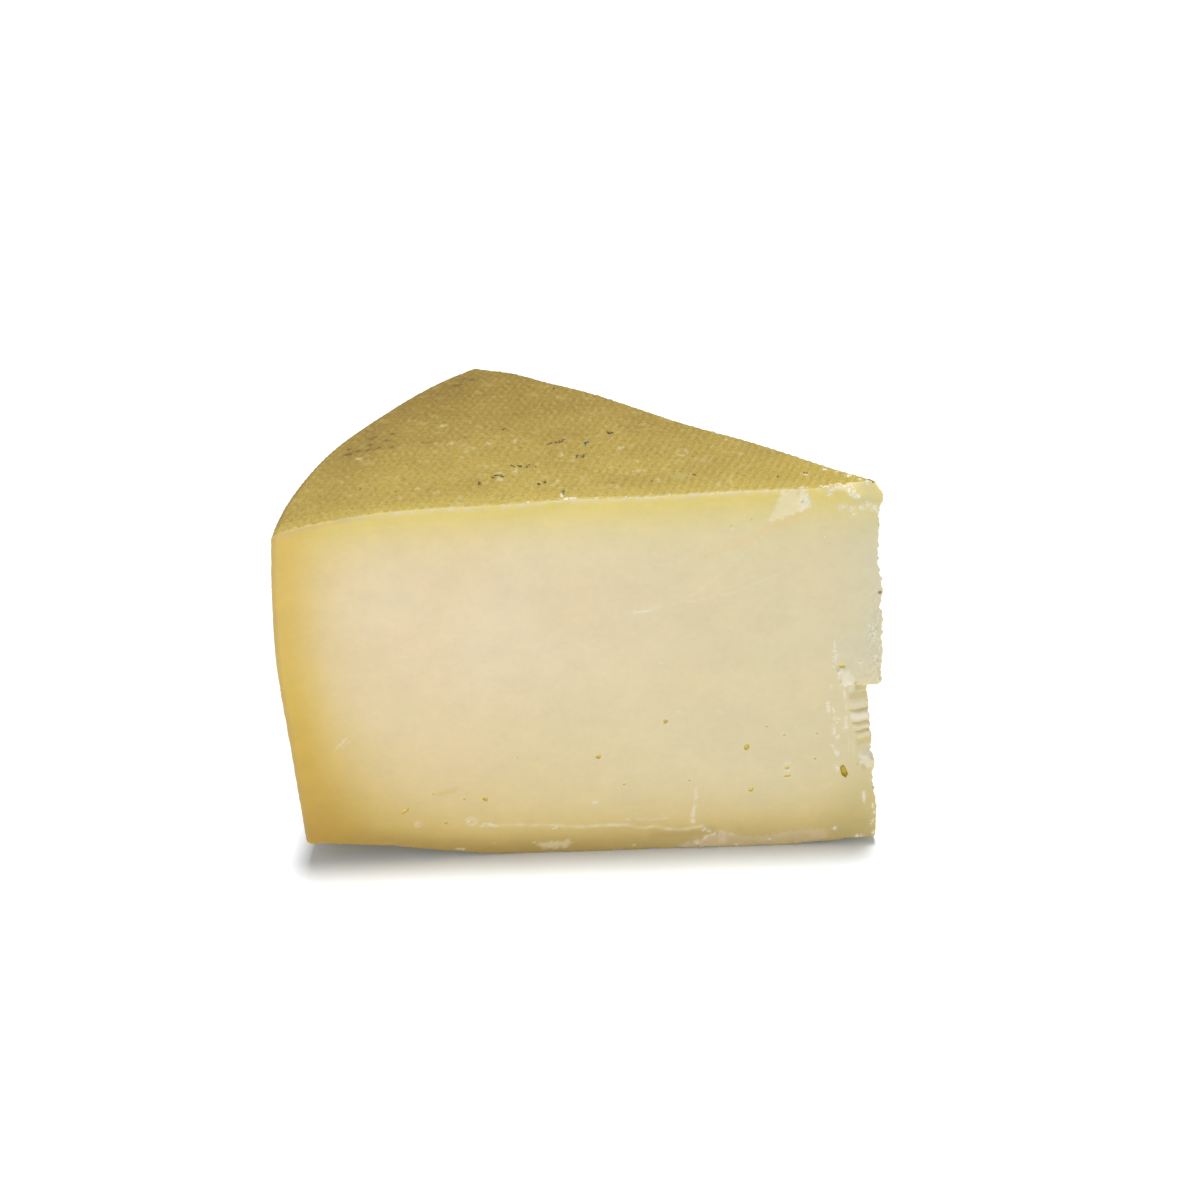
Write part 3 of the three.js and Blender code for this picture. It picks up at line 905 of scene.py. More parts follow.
ball_points, ball_faces = small_ball(3)
for number, eye in enumerate(EYES):
    opened = mesh_object("eye", eye_points(*eye, FIRST_EYE_SEED + number), ball_faces, EYE)
    combine(wedge, opened, "DIFFERENCE")
print("with its eyes:", len(wedge.data.polygons), "faces")

# %% [markdown]
# ## Worn edges
#
# Cheese has no sharp edges for long. Where the rind meets a cut, the two rows of points nearest the edge
# are relaxed toward their neighbours. That rounds the edge by a few tenths of a millimetre and leaves
# the saw teeth of the print in it. The chipped corner had dried and crumbled round, so its points are
# relaxed many times. Only true tears, and the rims of the eyes, stay sharp.

# %% Wear the edges
CORNER_FROM = -14.5
CORNER_LOW = 105.5
CORNER_ROUNDS = 14
CORNER_WEAR = 0.5
EDGE_WEAR = 0.5
BESIDE_WEAR = 0.35
STAYS_SHARP = math.radians(52)

form = bmesh.new()
form.from_mesh(wedge.data)
on_edge = set()
for joint in form.edges:
    slots = {face.material_index for face in joint.link_faces}
    if RIND in slots and PASTE in slots:
        on_edge.update(joint.verts)
beside = {joint.other_vert(vert) for vert in on_edge for joint in vert.link_edges}
axes = {"use_axis_x": True, "use_axis_y": True, "use_axis_z": True}
for verts, factor in ((on_edge, EDGE_WEAR), (on_edge | beside, BESIDE_WEAR)):
    bmesh.ops.smooth_vert(form, verts=list(verts), factor=factor, **axes)
corner = to_metres((CORNER_FROM, 0, CORNER_LOW))
at_corner = [vert for vert in form.verts if vert.co.x > corner[0] and vert.co.z > corner[2]]
at_corner = [vert for vert in at_corner if all(face.material_index == PASTE for face in vert.link_faces)]
for _ in range(CORNER_ROUNDS):
    bmesh.ops.smooth_vert(form, verts=at_corner, factor=CORNER_WEAR, **axes)
form.to_mesh(wedge.data)
form.free()
wedge.data.shade_smooth()
wedge.data.set_sharp_from_angle(angle=STAYS_SHARP)
print("worn points:", len(on_edge | beside), "and", len(at_corner), "at the corner")

# %% [markdown]
# ## Colour
#
# The paste is ivory in the middle. Toward the rind it dried and ripened, and turned yellow: narrowly
# below the upper face, broadly along the heel, and to a dull ochre at the foot. So its colour depends
# on the distance to each of those three surfaces, which is known exactly. It is worked out per point of
# the mesh and kept as a colour attribute. The rind's colour is worked out the same way: it is browner
# toward the back and toward the rim, and its print is painted too, the crests pale, partly as rubbed
# wear and partly as painted highlight, and the grooves a little darker, as painted shade.
#
# The colours below are written as they look in the picture. But a look is the skin's own colour times
# the light that falls on it, so each is divided by how strongly its surface is lit, in red, green and
# blue apart. In the lines that paint, the number in front is the share of the new colour where it is
# strongest, and the numbers inside smoothstep are the places, in millimetres, where it sets in and is full.

# %% Tools for painting points
LIGHT_ON_CUT = (1.2, 1.24, 1.27)
LIGHT_ON_RIND = (1.42, 1.44, 1.46)


def linear(colour):
    """Display values from 0 to 255 as linear light."""
    return ((np.asarray(colour, float) / 255 + 0.055) / 1.055) ** 2.4


def blend(under, over, amount):
    """Mixes a colour over others, point by point."""
    share = np.clip(amount, 0, 1)[:, None]
    return under * (1 - share) + np.asarray(over, float) * share


def graded(first, second, share):
    """A colour for every point, between two."""
    return blend(np.tile(first, (len(share), 1)).astype(float), second, share)


def paint(piece, name, colours, light):
    """Keeps a colour for every point, from how it looks in display values and how brightly it is lit."""
    layer = piece.data.color_attributes.new(name, "FLOAT_COLOR", "POINT")
    values = np.ones((len(colours), 4))
    values[:, :3] = linear(np.clip(colours, 1, 255)) / light
    layer.data.foreach_set("color", values.ravel())


print("light on the cut:", LIGHT_ON_CUT, "and on the rind:", LIGHT_ON_RIND)

# %% Measure where every point lies
NOSE_LINE = 1.5

places = np.empty(3 * len(wedge.data.vertices))
wedge.data.vertices.foreach_get("co", places)
places = to_millimetres(places.reshape(-1, 3))
x, y, z = places.T
bearing = np.arctan2(y - CENTRE[1], x - CENTRE[0]) % (2 * math.pi)
to_face = face_height(x, y) - z
to_base = z - base_height(x, y)
to_heel = heel_radius(bearing, z) - wheel_radius_at(x, y)
to_nose = np.hypot(np.minimum(x - NOSE_LINE, 0), y)
to_rind = np.minimum(np.minimum(to_face, to_base), to_heel)
print("deepest point:", round(float(to_rind.max()), 1), "mm from the rind")

# %% Paint the core of the paste and its dry nose
CORE = (229, 213, 178)
CORE_LOW = (223, 205, 155)
CORE_TOWARD_NOSE = (219, 208, 168)
CORE_PATCHES = (226, 206, 164)
DRY_NOSE = (206, 203, 172)
BELOW_FLAP = (209, 199, 150)

paste = graded(CORE_LOW, CORE, smoothstep(12, 70, z))
paste = blend(paste, CORE_TOWARD_NOSE, smoothstep(-120, -25, x))
paste = blend(paste, CORE_PATCHES, 0.28 * smoothstep(-0.2, 1.2, wander((x, y, z), 38.0, 301)))
dried = np.exp(-to_nose / 8.5) * smoothstep(10, 40, z) * (0.35 + 0.65 * smoothstep(52, 66, z))
paste = blend(paste, DRY_NOSE, 0.9 * dried)
below_flap = np.exp(-to_nose / 10) * (1 - smoothstep(50, 60, z)) * smoothstep(8, 20, z)
paste = blend(paste, BELOW_FLAP, 0.7 * below_flap)
print("paste, on the whole, looks like", paste.mean(0).round())

# %% Paint the ripe bands along the rind
FACE_BAND = (222, 204, 108)
FACE_BAND_WIDTH = 8.0
HEEL_BAND_LOW = (212, 180, 72)
HEEL_BAND_HIGH = (217, 187, 90)
HEEL_BAND_WIDTH = 10.5
FOOT_GLOW = (215, 190, 112)
FOOT_GLOW_WIDTH = 13.0
FOOT_LEFT = (184, 158, 86)
FOOT_RIGHT = (204, 184, 120)
HEEL_FOOT = (188, 152, 48)
LOW_NOSE = (188, 173, 108)

from_face, from_heel, from_base = (np.maximum(gap, 0) for gap in (to_face, to_heel, to_base))
paste = blend(paste, FACE_BAND, np.exp(-((from_face / FACE_BAND_WIDTH) ** 1.4)))
heel_band = graded(HEEL_BAND_LOW, HEEL_BAND_HIGH, smoothstep(40, 78, z))
paste = blend(paste, heel_band, 1 / (1 + (from_heel / HEEL_BAND_WIDTH) ** 3))
paste = blend(paste, FOOT_GLOW, np.exp(-((from_base / FOOT_GLOW_WIDTH) ** 1.8)))
rightward = smoothstep(-110, -25, x)
foot = graded(FOOT_LEFT, FOOT_RIGHT, rightward)
paste = blend(paste, foot, np.exp(-((from_base / (5.0 + 2.2 * rightward)) ** 2.2)))
heel_foot = np.exp(-((from_base / 25) ** 1.8)) / (1 + (from_heel / 18) ** 3)
paste = blend(paste, HEEL_FOOT, 0.95 * heel_foot)
low_nose = smoothstep(-18, 0, x) * (1 - smoothstep(6, 30, z))
paste = blend(paste, LOW_NOSE, 0.6 * low_nose)
print("paste at the foot of the heel looks like", paste[heel_foot.argmax()].round())

# %% Paint the dry rims of the cuts
RIM_DUST = (219, 210, 176)
RIM_DUST_RIPE = (204, 184, 132)
RIM_AT_HEEL = (184, 160, 108)
RIM_AT_BASE = (190, 150, 82)
CHIP_PASTE_AND_SHADE = (202, 195, 141)

rim_dust = graded(RIM_DUST, RIM_DUST_RIPE, smoothstep(-120, -146, x))
dusty = 0.65 + 0.35 * wander((x, y, z), 2.6, 303)
paste = blend(paste, rim_dust, dusty * (1 - smoothstep(0.3, 1.9, to_face)))
paste = blend(paste, RIM_AT_HEEL, 0.55 * (1 - smoothstep(0.3, 1.7, to_heel)))
paste = blend(paste, RIM_AT_BASE, 0.6 * (1 - smoothstep(0.05, 0.45, to_base)))
# The chipped corner takes the pale greenish paste of the nose, painted darker as shade because it faces up
# into the overhead light.
chipped = smoothstep(-10, -3, x) * smoothstep(106, 109, z) * (1 - smoothstep(3, 5, y))
paste = blend(paste, CHIP_PASTE_AND_SHADE, 0.85 * chipped)
print("points on the chipped corner:", int((chipped > 0.5).sum()))

# %% [markdown]
# The tears shed pale crumbs, and some cling to the edges and to the torn nose. They come in clumps, and
# each clump lies in a little dust. So the clumps are listed before the rest is painted: the same list
# gives the dust as colour here, and the crumbs as small solids further down. A clump is given as its
# middle and half size, across and up, then how many crumbs it has and how large they are.

# %% List the clumps of crumbs
FRONT_CLUMPS = (
    (-12.3, 111.8, 0.4, 0.3, 2, 0.35),
    (-13.1, 110.7, 0.3, 0.3, 3, 0.35),
    (-19.8, 111.9, 0.3, 0.5, 4, 0.35),
    (-8.0, 111.1, 0.6, 0.4, 6, 0.38),
    (-7.0, 110.5, 0.5, 0.4, 5, 0.38),
    (-5.9, 109.7, 0.6, 0.4, 5, 0.36),
    (-9.5, 106.8, 0.7, 0.4, 5, 0.34),
    (-7.1, 106.0, 0.6, 0.5, 5, 0.34),
    (-4.5, 106.4, 0.7, 0.5, 6, 0.34),
    (-2.9, 107.1, 0.8, 0.5, 7, 0.34),
    (-1.3, 106.2, 0.6, 0.5, 6, 0.34),
    (-0.2, 105.2, 0.3, 0.8, 4, 0.34),
    (-6.5, 104.6, 0.4, 0.4, 3, 0.3),
    (-19.2, 108.6, 0.9, 1.8, 12, 0.3),
    (-10.1, 62, 0.5, 4, 12, 0.32),
    (-9, 36.5, 1.0, 6, 10, 0.3),
    (1.2, 63, 1.4, 10, 26, 0.36),
    (-0.6, 69, 1.2, 3, 10, 0.36),
    (-3.2, 59.5, 0.8, 0.3, 3, 0.34),
    (-0.4, 15.8, 0.25, 1.4, 7, 0.3),
    (2.2, 12.4, 0.4, 0.5, 3, 0.32),
    (2.8, 10.3, 0.3, 0.5, 3, 0.32),
    (2.5, 7.6, 0.4, 0.5, 3, 0.32),
    (1.9, 6.2, 0.4, 0.4, 2, 0.32),
    (2.7, 3.4, 0.4, 0.5, 3, 0.32),
    (-8.0, 25.5, 0.5, 0.4, 4, 0.34),
    (-22, 25.0, 0.6, 0.3, 3, 0.3),
    (-22.2, 27.6, 0.5, 0.3, 3, 0.26),
    (-8.3, 5.3, 0.4, 0.3, 3, 0.38),
    (-1.9, 2.3, 0.5, 0.3, 4, 0.4),
    (-0.7, 2.1, 0.4, 0.3, 3, 0.4),
    (-45.1, 6.3, 0.4, 0.3, 2, 0.36),
    (-43.7, 5.6, 0.4, 0.3, 2, 0.36),
    (-47.1, 2.3, 0.3, 0.3, 3, 0.38),
    (-35.5, 0.9, 0.5, 0.3, 2, 0.34),
    (-86.2, 8.4, 1.4, 0.5, 3, 0.26),
    (-110.3, 12.2, 0.8, 0.4, 3, 0.28),
    (-75.5, 16.6, 0.6, 0.5, 3, 0.28),
    (-38, 101.6, 1.0, 0.8, 4, 0.26),
    (-62, 77.4, 1.6, 0.2, 4, 0.26),
)
TOP_CLUMPS = (
    (-14.2, 0.9, 1.4, 0.6, 12, 0.38),
    (-12.2, 1.1, 0.7, 0.9, 5, 0.36),
    (-10.7, 1.9, 0.8, 0.5, 5, 0.36),
    (-9.0, 1.1, 0.9, 0.5, 7, 0.38),
    (-7.6, 1.8, 0.6, 0.4, 4, 0.36),
    (-20.7, 1.0, 2.2, 0.4, 6, 0.3),
    (-3.3, 2.9, 0.6, 0.5, 5, 0.38),
    (-4.7, 4.1, 0.6, 0.5, 4, 0.36),
    (-7.2, 7.0, 0.7, 0.6, 8, 0.4),
    (-10.2, 9.3, 0.9, 0.4, 4, 0.34),
    (-13.1, 11.0, 0.5, 0.4, 3, 0.34),
    (-18.3, 8.6, 0.6, 0.4, 4, 0.34),
    (-91.4, 0.6, 0.5, 0.4, 2, 0.36),
    (-81.6, 0.6, 0.6, 0.5, 6, 0.42),
    (-80.0, 0.7, 1.0, 0.4, 8, 0.42),
    (-82.6, 3.0, 0.3, 1.0, 3, 0.34),
    (-62, 0.4, 40, 0.3, 22, 0.3),
)
DUST_REACH = 0.35
DUST_MOST = 0.7


def dust_under(across, up, clumps):
    """How thickly dust lies round the clumps, from 0 to 1."""
    cover = 0.0
    ragged = 1 + 0.3 * wander((across, up), 1.2, 141)
    for middle_across, middle_up, half_across, half_up, count, size in clumps:
        crowded = min(DUST_MOST, 0.3 * count * size**2 / (half_across * half_up))
        off_across = (across - middle_across) / (half_across + DUST_REACH)
        off_up = (up - middle_up) / (half_up + DUST_REACH)
        cover = np.maximum(cover, crowded * np.exp(-((np.hypot(off_across, off_up) * ragged) ** 2)))
    return cover


print("clumps of crumbs:", len(FRONT_CLUMPS) + len(TOP_CLUMPS))

# %% [markdown]
# What lies on the front cut is painted over it: first the flakes, a few stains and two painted shades,
# then the pale dust on the burr, the lines and the flecks. A flake's row gives its colour, how well it
# covers, and how pale its torn rim is. A row of stains and shades gives its path, width, colour and
# strength, and a ring's gives its middle and size. Two rows are painted shade: the valley between the
# burr and the fold at the foot, and the cleft between the loose lip and the torn flap.

# %% Paint the flakes, the stains and the painted shades
FRONT_SKIN = 2.5
PALE_DUST = (233, 227, 204)
FLAKE_COLOURS = {
    "torn_flap": ((214, 210, 180), 0.3, 0.1),
    "loose_lip": ((228, 221, 196), 1.0, 0.0),
    "foot_fold": ((212, 188, 146), 0.85, 0.4),
    "foot_flake": ((209, 188, 146), 0.7, 0.2),
    "foot_smear": ((224, 205, 160), 0.95, 0.3),
    "rind_smear": ((228, 219, 178), 0.85, 0.0),
    "smear_crust": (PALE_DUST, 0.85, 0.3),
    "nose_bulge": ((222, 216, 190), 0.85, 0.3),
}
RINGS = ((-110.2, 11.7, 1.25), (-125, 11, 0.7))
STAINS_AND_SHADES = (
    (((-46, 93), (-34, 98), (-22, 104)), 1.3, (222, 196, 142), 0.35),
    # Painted shade in the valley between the burr and the fold at the foot.
    (((-59, 5.0), (-50, 4.6), (-43, 5.9)), 1.4, (180, 156, 90), 0.4),
    (((-119.4, 20.9), (-114.4, 22.3)), 0.8, (212, 186, 112), 0.5),
    (((-39.6, 1.2), (-39.6, 4.8)), 0.8, (224, 206, 166), 0.8),
    (((-14, 3.4), (-11, 3.2)), 0.9, (217, 194, 154), 0.7),
    # Painted shadow in the cleft between the loose lip and the torn flap.
    (((-4.3, 53.3), (-4.1, 52.4)), 0.4, (192, 176, 110), 0.9),
    (((-1.1, 26.1), (-0.7, 25.2)), 0.6, (190, 178, 120), 0.8),
    (((-2, 28.9), (-0.3, 29.1)), 0.5, (236, 230, 210), 0.7),
    (((-5.2, 30.5), (-5.4, 35)), 0.3, (228, 220, 190), 0.4),
    (((-3.9, 30), (-4.3, 34.5)), 0.3, (228, 220, 190), 0.35),
)

on_front = np.abs(y) < FRONT_SKIN
for name, (colour, share, rim) in FLAKE_COLOURS.items():
    inward = flake_depth(name, x, z)
    paste = blend(paste, colour, share * (smoothstep(-0.3, 0.5, inward) * on_front))
    paste = blend(paste, PALE_DUST, rim * (np.exp(-((inward / 0.4) ** 2)) * on_front))
for path, width, colour, share in STAINS_AND_SHADES:
    stain_and_shade = np.exp(-((off_path(x, z, path) / width) ** 2)) * on_front
    paste = blend(paste, colour, share * stain_and_shade)
for middle_x, middle_z, size in RINGS:
    off_ring = np.hypot(x - middle_x, z - middle_z) - size
    paste = blend(paste, PALE_DUST, 0.5 * np.exp(-((off_ring / 0.35) ** 2)) * on_front)
print("flakes, stains and rings:", len(FLAKE_COLOURS), len(STAINS_AND_SHADES), len(RINGS))

# %% Dust the front cut
CRUMBLED_HIGH = (226, 222, 202)
CRUMBLED_LOW = (205, 198, 165)

lines_dust, flecks_dust = 0.8 * knife_lines(x, z), 0.8 * flecks(x, z)
for dust in (0.75 * burr(x, z), lines_dust, flecks_dust, dust_under(x, z, FRONT_CLUMPS)):
    paste = blend(paste, PALE_DUST, dust * on_front)
roughened = crumbled(x, z)
paste = blend(paste, CRUMBLED_HIGH, 0.4 * smoothstep(0.1, 0.9, roughened) * on_front)
paste = blend(paste, CRUMBLED_LOW, 0.3 * smoothstep(-0.1, -0.8, roughened) * on_front)
print("points under flecks:", int((flecks_dust * on_front > 0.1).sum()))

# %% [markdown]
# In the break the tops of the rolls are painted pale, as their highlight, and the creases darker and
# yellower, as their shade. Both are found from the same function that made the rolls. Under the flap a
# darker band is painted as its shadow. Inside the eyes the paste is a deep yellow, and the upper half of
# a large eye lies in its own shade.

# %% Paint the break
BREAK_SKIN = 4
BREAK_PASTE = (215, 206, 168)
ROLL_TOP_HIGHLIGHT = (227, 222, 201)
CREASE_SHADE = (209, 195, 138)
SHADE_UNDER_FLAP = (203, 188, 130)
UNDER_LIP = (228, 223, 198)

within = smoothstep(29, 31, z) * (1 - smoothstep(51.8, 52.4, z)) * (y < BREAK_SKIN)
in_break = smoothstep(-0.3, 0.5, x - break_edge(z)) * within
stand = rolls(x, z)
paste = blend(paste, BREAK_PASTE, in_break)
# Tops of the rolls painted pale, as their highlight.
paste = blend(paste, ROLL_TOP_HIGHLIGHT, 0.9 * in_break * smoothstep(0.18, 0.4, stand))
# Creases painted darker and yellower, as their shade.
paste = blend(paste, CREASE_SHADE, 0.9 * in_break * smoothstep(0.02, -0.16, stand) * (z < 46.5))
# A band painted darker, as the shadow under the flap.
shaded_band = 0.6 * smoothstep(47.0, 47.8, z) * (1 - smoothstep(48.9, 49.6, z))
shaded_band = np.maximum(shaded_band, 0.85 * smoothstep(49.4, 50.2, z) * smoothstep(-4.6, -3.6, x))
paste = blend(paste, SHADE_UNDER_FLAP, in_break * shaded_band)
lip_band = smoothstep(49.5, 50.1, z) * (1 - smoothstep(-4.8, -3.8, x))
paste = blend(paste, UNDER_LIP, 0.8 * in_break * lip_band)
print("points in the break:", int((in_break > 0.5).sum()))

# %% Paint the eyes
EYE_DEEP = (208, 184, 38)
EYE_SMALL = (248, 224, 118)
EYE_SHADE = (160, 126, 30)
NOTCH_SHADE = (150, 125, 80)
NOTCH_SHADE_AT = (1.3, 81)
NOTCH_SHADE_SIZE = 0.5
NOSE_SKIN = 3

sunk = smoothstep(0.05, 0.3, y + front_relief(x, z))
for eye_x, eye_z, width, tall, _ in EYES:
    near = np.hypot(x - eye_x, z - eye_z) < 0.6 * max(width, tall)
    depth = float(smoothstep(0.8, 2.0, min(width, tall)))
    colour = np.array(EYE_SMALL) * (1 - depth) + np.array(EYE_DEEP) * depth
    paste = blend(paste, colour, sunk * near * on_front)
    shaded = smoothstep(eye_z, eye_z + 0.4 * tall, z)
    paste = blend(paste, EYE_SHADE, 0.85 * depth * shaded * sunk * near * on_front)
# A dark patch painted as shade in the notch where an eye opens at the edge of the nose.
in_notch_shade = np.hypot(x - NOTCH_SHADE_AT[0], z - NOTCH_SHADE_AT[1]) < NOTCH_SHADE_SIZE
paste = blend(paste, NOTCH_SHADE, 0.9 * in_notch_shade * (y < NOSE_SKIN))
paint(wedge, "paste_colour", paste, LIGHT_ON_CUT)
print("sunk points:", int((sunk * on_front > 0.5).sum()))

# %% [markdown]
# A ripened rind carries small pale blooms, and brown pits, most of them where it has darkened. Both are
# listed: the blooms by how strong they are, each as its middle and half size, and the pits by size and
# strength, each as its middle. The print's own height at a point is how far it stands off the smooth
# face, or off the smooth heel once the rounding of the rims is taken away.

# %% List the blooms and the pits
BLOOM = {
    0.9: (
        (-114.8, 53.3, 0.9, 1.1), (-111.9, 40.5, 0.7, 1.1), (-101.7, 38.8, 0.9, 1.1),
        (-94.6, 19.1, 0.9, 1.1), (-82, 28.4, 0.7, 1.1), (-66.1, 31.3, 0.9, 1.1), (-137.2, 38, 0.9, 0.9),
        (-120.4, 12.4, 0.7, 0.6), (-34.3, 23.2, 0.6, 0.7), (-37.3, 32.7, 0.6, 0.7), (-98.5, 15, 1.0, 1.1),
        (-98.8, 18.8, 0.9, 0.6), (-83.4, 11.2, 0.7, 0.7),
    ),
    0.65: (
        (-108, 33.8, 1.2, 0.7), (-103.4, 45.3, 0.6, 0.7), (-94.7, 39.3, 0.6, 1.4),
        (-124.8, 8.1, 0.6, 1.1), (-61.3, 16.3, 1.9, 0.7), (-18.3, 8.6, 0.7, 0.7),
    ),
    0.5: (
        (-113.9, 53.4, 0.7, 0.7), (-83.3, 25.3, 0.6, 0.7), (-82.4, 24.6, 0.6, 0.7),
        (-79.3, 23.9, 1.0, 1.1), (-79.1, 26.5, 0.9, 0.6), (-88.5, 22.7, 0.6, 0.7), (-88.2, 18, 0.6, 0.7),
        (-136.3, 36.3, 0.6, 0.7), (-132.2, 24.5, 0.6, 0.7), (-62, 22.2, 1.2, 0.7), (-56.8, 9.8, 0.6, 1.4),
        (-41.2, 5, 0.7, 1.4), (-38.4, 7, 0.7, 1.8), (-102.9, 13.5, 0.6, 0.7), (-102.1, 13.1, 0.6, 0.7),
        (-115.4, 9.2, 0.9, 1.1), (-108.9, 6, 0.6, 1.1), (-109.2, 2.2, 0.9, 1.4), (-103.1, 0.6, 1.2, 0.7),
        (-110.6, 0.7, 1.0, 0.7), (-86.7, 14.2, 1.0, 1.1), (-84.8, 9.2, 0.9, 1.1), (-88.4, 11.1, 0.6, 0.7),
        (-69.6, 7.2, 0.7, 0.7), (-67.9, 5.8, 0.7, 1.1), (-62.4, 16.1, 1.4, 0.7), (-82.7, 2.8, 0.6, 1.8),
    ),
    0.3: (
        (-115.9, 52.3, 0.7, 0.7), (-115.4, 40, 1.2, 1.1), (-113.1, 39.5, 0.7, 0.7),
        (-108.8, 38.4, 1.4, 1.1), (-106.5, 36.5, 1.4, 1.1), (-108.7, 29.7, 0.7, 1.1),
        (-100, 40.2, 0.7, 0.7), (-102.5, 23.4, 0.9, 1.1), (-75.3, 51.7, 0.7, 0.7),
        (-73.9, 50.1, 0.7, 0.7), (-75.4, 25.3, 0.7, 0.7), (-72.2, 39.5, 0.7, 0.7),
        (-69.3, 40.3, 0.7, 0.7), (-69.1, 19.2, 0.6, 1.4), (-134.7, 39.4, 0.7, 0.7),
        (-135.2, 33, 0.7, 0.7), (-140.8, 24.3, 0.9, 0.6), (-146.7, 22.2, 0.7, 0.7), (-59, 45.9, 1.0, 1.1),
        (-58.5, 43, 1.2, 0.6), (-53.7, 45.4, 0.7, 0.7), (-63.1, 32.3, 1.0, 1.1), (-44.1, 21, 2.1, 2.5),
        (-50.9, 11.7, 2.8, 2.1), (-103.5, 17.9, 1.2, 1.4), (-91.4, 9.7, 0.9, 0.7),
        (-76.4, 11.3, 1.4, 2.8),
    ),
}
BLOOM_RING = (-49.6, 26.5, 1.4, 1.9)
BROWN_PITS = (
    (0.6, 0.8, (
        (-109.4, 90.2), (-110.6, 84.9), (-112, 85.1), (-107, 88.8), (-134.7, 46.6), (-132, 43),
        (-137.9, 43.8), (-140, 43), (-134.8, 42.9), (-128.7, 52.3), (-130.2, 47.6), (-134.7, 51.6),
        (-133.3, 52.5), (-128.2, 41.9), (-140.4, 46.8), (-141.1, 42.8),
    )),
    (0.5, 0.35, (
        (-108.5, 43.8), (-120, 42.3), (-118, 41.6), (-93.9, 57.5), (-94.1, 68.1), (-93.3, 71.1),
        (-103.3, 73.5), (-124.4, 19), (-117.5, 11.6), (-69.1, 9),
    )),
)
print("blooms:", sum(len(blooms) for blooms in BLOOM.values()))
print("pits:", sum(len(pits) for _, _, pits in BROWN_PITS))

# %% Paint the rind
RIND_YELLOW = (197, 173, 86)
RIND_BROWN = (155, 128, 55)
RIND_TOWARD_POINT = (208, 186, 88)
RIND_ALONG_CUT = (214, 192, 98)
RIND_PALE_PATCH = (206, 190, 120)
RIND_DARK_PATCH = (160, 132, 64)
CREST_WEAR_AND_HIGHLIGHT = (214, 198, 128)
PALE_EDGE = (224, 209, 138)

drawn_in = rounding_inset(from_face) + rounding_inset(from_base)
relief = np.where(to_face < 0.6, z - face_height(x, y), drawn_in - to_heel)
crest = np.clip(relief / PRINT_DEPTH, -1.3, 1.3)
radius = wheel_radius_at(x, y)
# The rind is painted browner toward the back, away from the front cut, and toward the rim.
brown_share = 0.1 + 0.6 * smoothstep(10, 80, y) + 0.2 * smoothstep(118, 151, radius)
brown_share = brown_share + 0.08 * wander((x, y, z), 21.0, 311)
rind = graded(RIND_YELLOW, RIND_BROWN, brown_share)
rind = blend(rind, RIND_TOWARD_POINT, 0.5 * smoothstep(-50, -12, x) * (1 - smoothstep(8, 30, y)))
rind = blend(rind, RIND_ALONG_CUT, 0.6 * (1 - smoothstep(0, 9, y)))
rind = blend(rind, RIND_PALE_PATCH, 0.3 * smoothstep(0.5, 1.5, wander((x, y, z), 6.0, 313)))
rind = blend(rind, RIND_DARK_PATCH, 0.12 * smoothstep(0.6, 1.6, wander((x, y, z), 10.0, 315)))
# The print's crests are painted pale, partly as rubbed wear and partly as painted highlight, and its
# grooves darker, as painted shade.
rind = blend(rind, CREST_WEAR_AND_HIGHLIGHT, 0.32 * smoothstep(0.0, 1.1, crest))
rind = rind * (1 - 0.075 * smoothstep(0.1, -1.0, crest))[:, None]
edge_reach = np.maximum(0.25, 1.1 + 0.7 * wander((x, y), 3.4, 317))
rind = blend(rind, PALE_EDGE, 0.75 * (1 - smoothstep(0.2, 1.0, y / edge_reach)) * (to_heel > 4))
print("rind, on the whole, looks like", rind.mean(0).round())

# %% Paint the blooms and the pits
BLOOM_COLOUR = (218, 207, 162)
PIT_COLOUR = (104, 78, 42)

nibbled = rough((x, y), (0.35, 1.6, 321), (0.25, 0.8, 323))
on_top = to_face < 2
for strength, blooms in BLOOM.items():
    for bloom_x, bloom_y, half_x, half_y in blooms:
        reach = np.hypot((x - bloom_x) / half_x, (y - bloom_y) / half_y)
        cover = strength * smoothstep(-0.3, 0.6, 1 - reach + nibbled) * on_top
        rind = blend(rind, BLOOM_COLOUR, cover)
ring_x, ring_y, half_x, half_y = BLOOM_RING
off_ring = np.hypot((x - ring_x) / half_x, (y - ring_y) / half_y) - 1
ring = np.exp(-((off_ring / 0.3) ** 2)) * smoothstep(-0.5, 0.1, nibbled)
rind = blend(rind, BLOOM_COLOUR, 0.6 * ring * on_top)
for size, strength, pits in BROWN_PITS:
    for pit_x, pit_y in pits:
        off = np.hypot(x - pit_x, y - pit_y) / size + 0.5 * nibbled
        pit = np.exp(-(off**2)) + 0.12 * np.exp(-((0.3 * off) ** 2))
        rind = blend(rind, PIT_COLOUR, strength * pit * on_top)
rind = blend(rind, BLOOM_COLOUR, 0.8 * dust_under(x, y, TOP_CLUMPS) * on_top)
paint(wedge, "rind_colour", rind, LIGHT_ON_RIND)
print("painted", len(x), "points")

# %% [markdown]
# ## Materials
#
# Cut paste is moist and a little translucent: light goes in, spreads a millimetre or two and comes out
# warmer. Subsurface scattering gives that, and softens the small relief as real cheese does. The rind
# is dry and nearly opaque. Both get fine noise in colour and in height, finer than the mesh can carry.
# The noise sits in the wedge's own coordinates, so it stays on the cheese when the view changes.

# %% Tools for the skins
CLOUD_DETAIL = {"detail": 5.0, "roughness": 0.74}
GRAIN_DETAIL = {"detail": 3.0, "roughness": 0.65}


def texture(material, kind, **settings):
    """A new node in a material, with some of its properties and inputs set."""
    node = material.node_tree.nodes.new(kind)
    for name, value in settings.items():
        if hasattr(node, name):
            setattr(node, name, value)
        else:
            node.inputs[name.replace("_", " ").title()].default_value = value
    return node


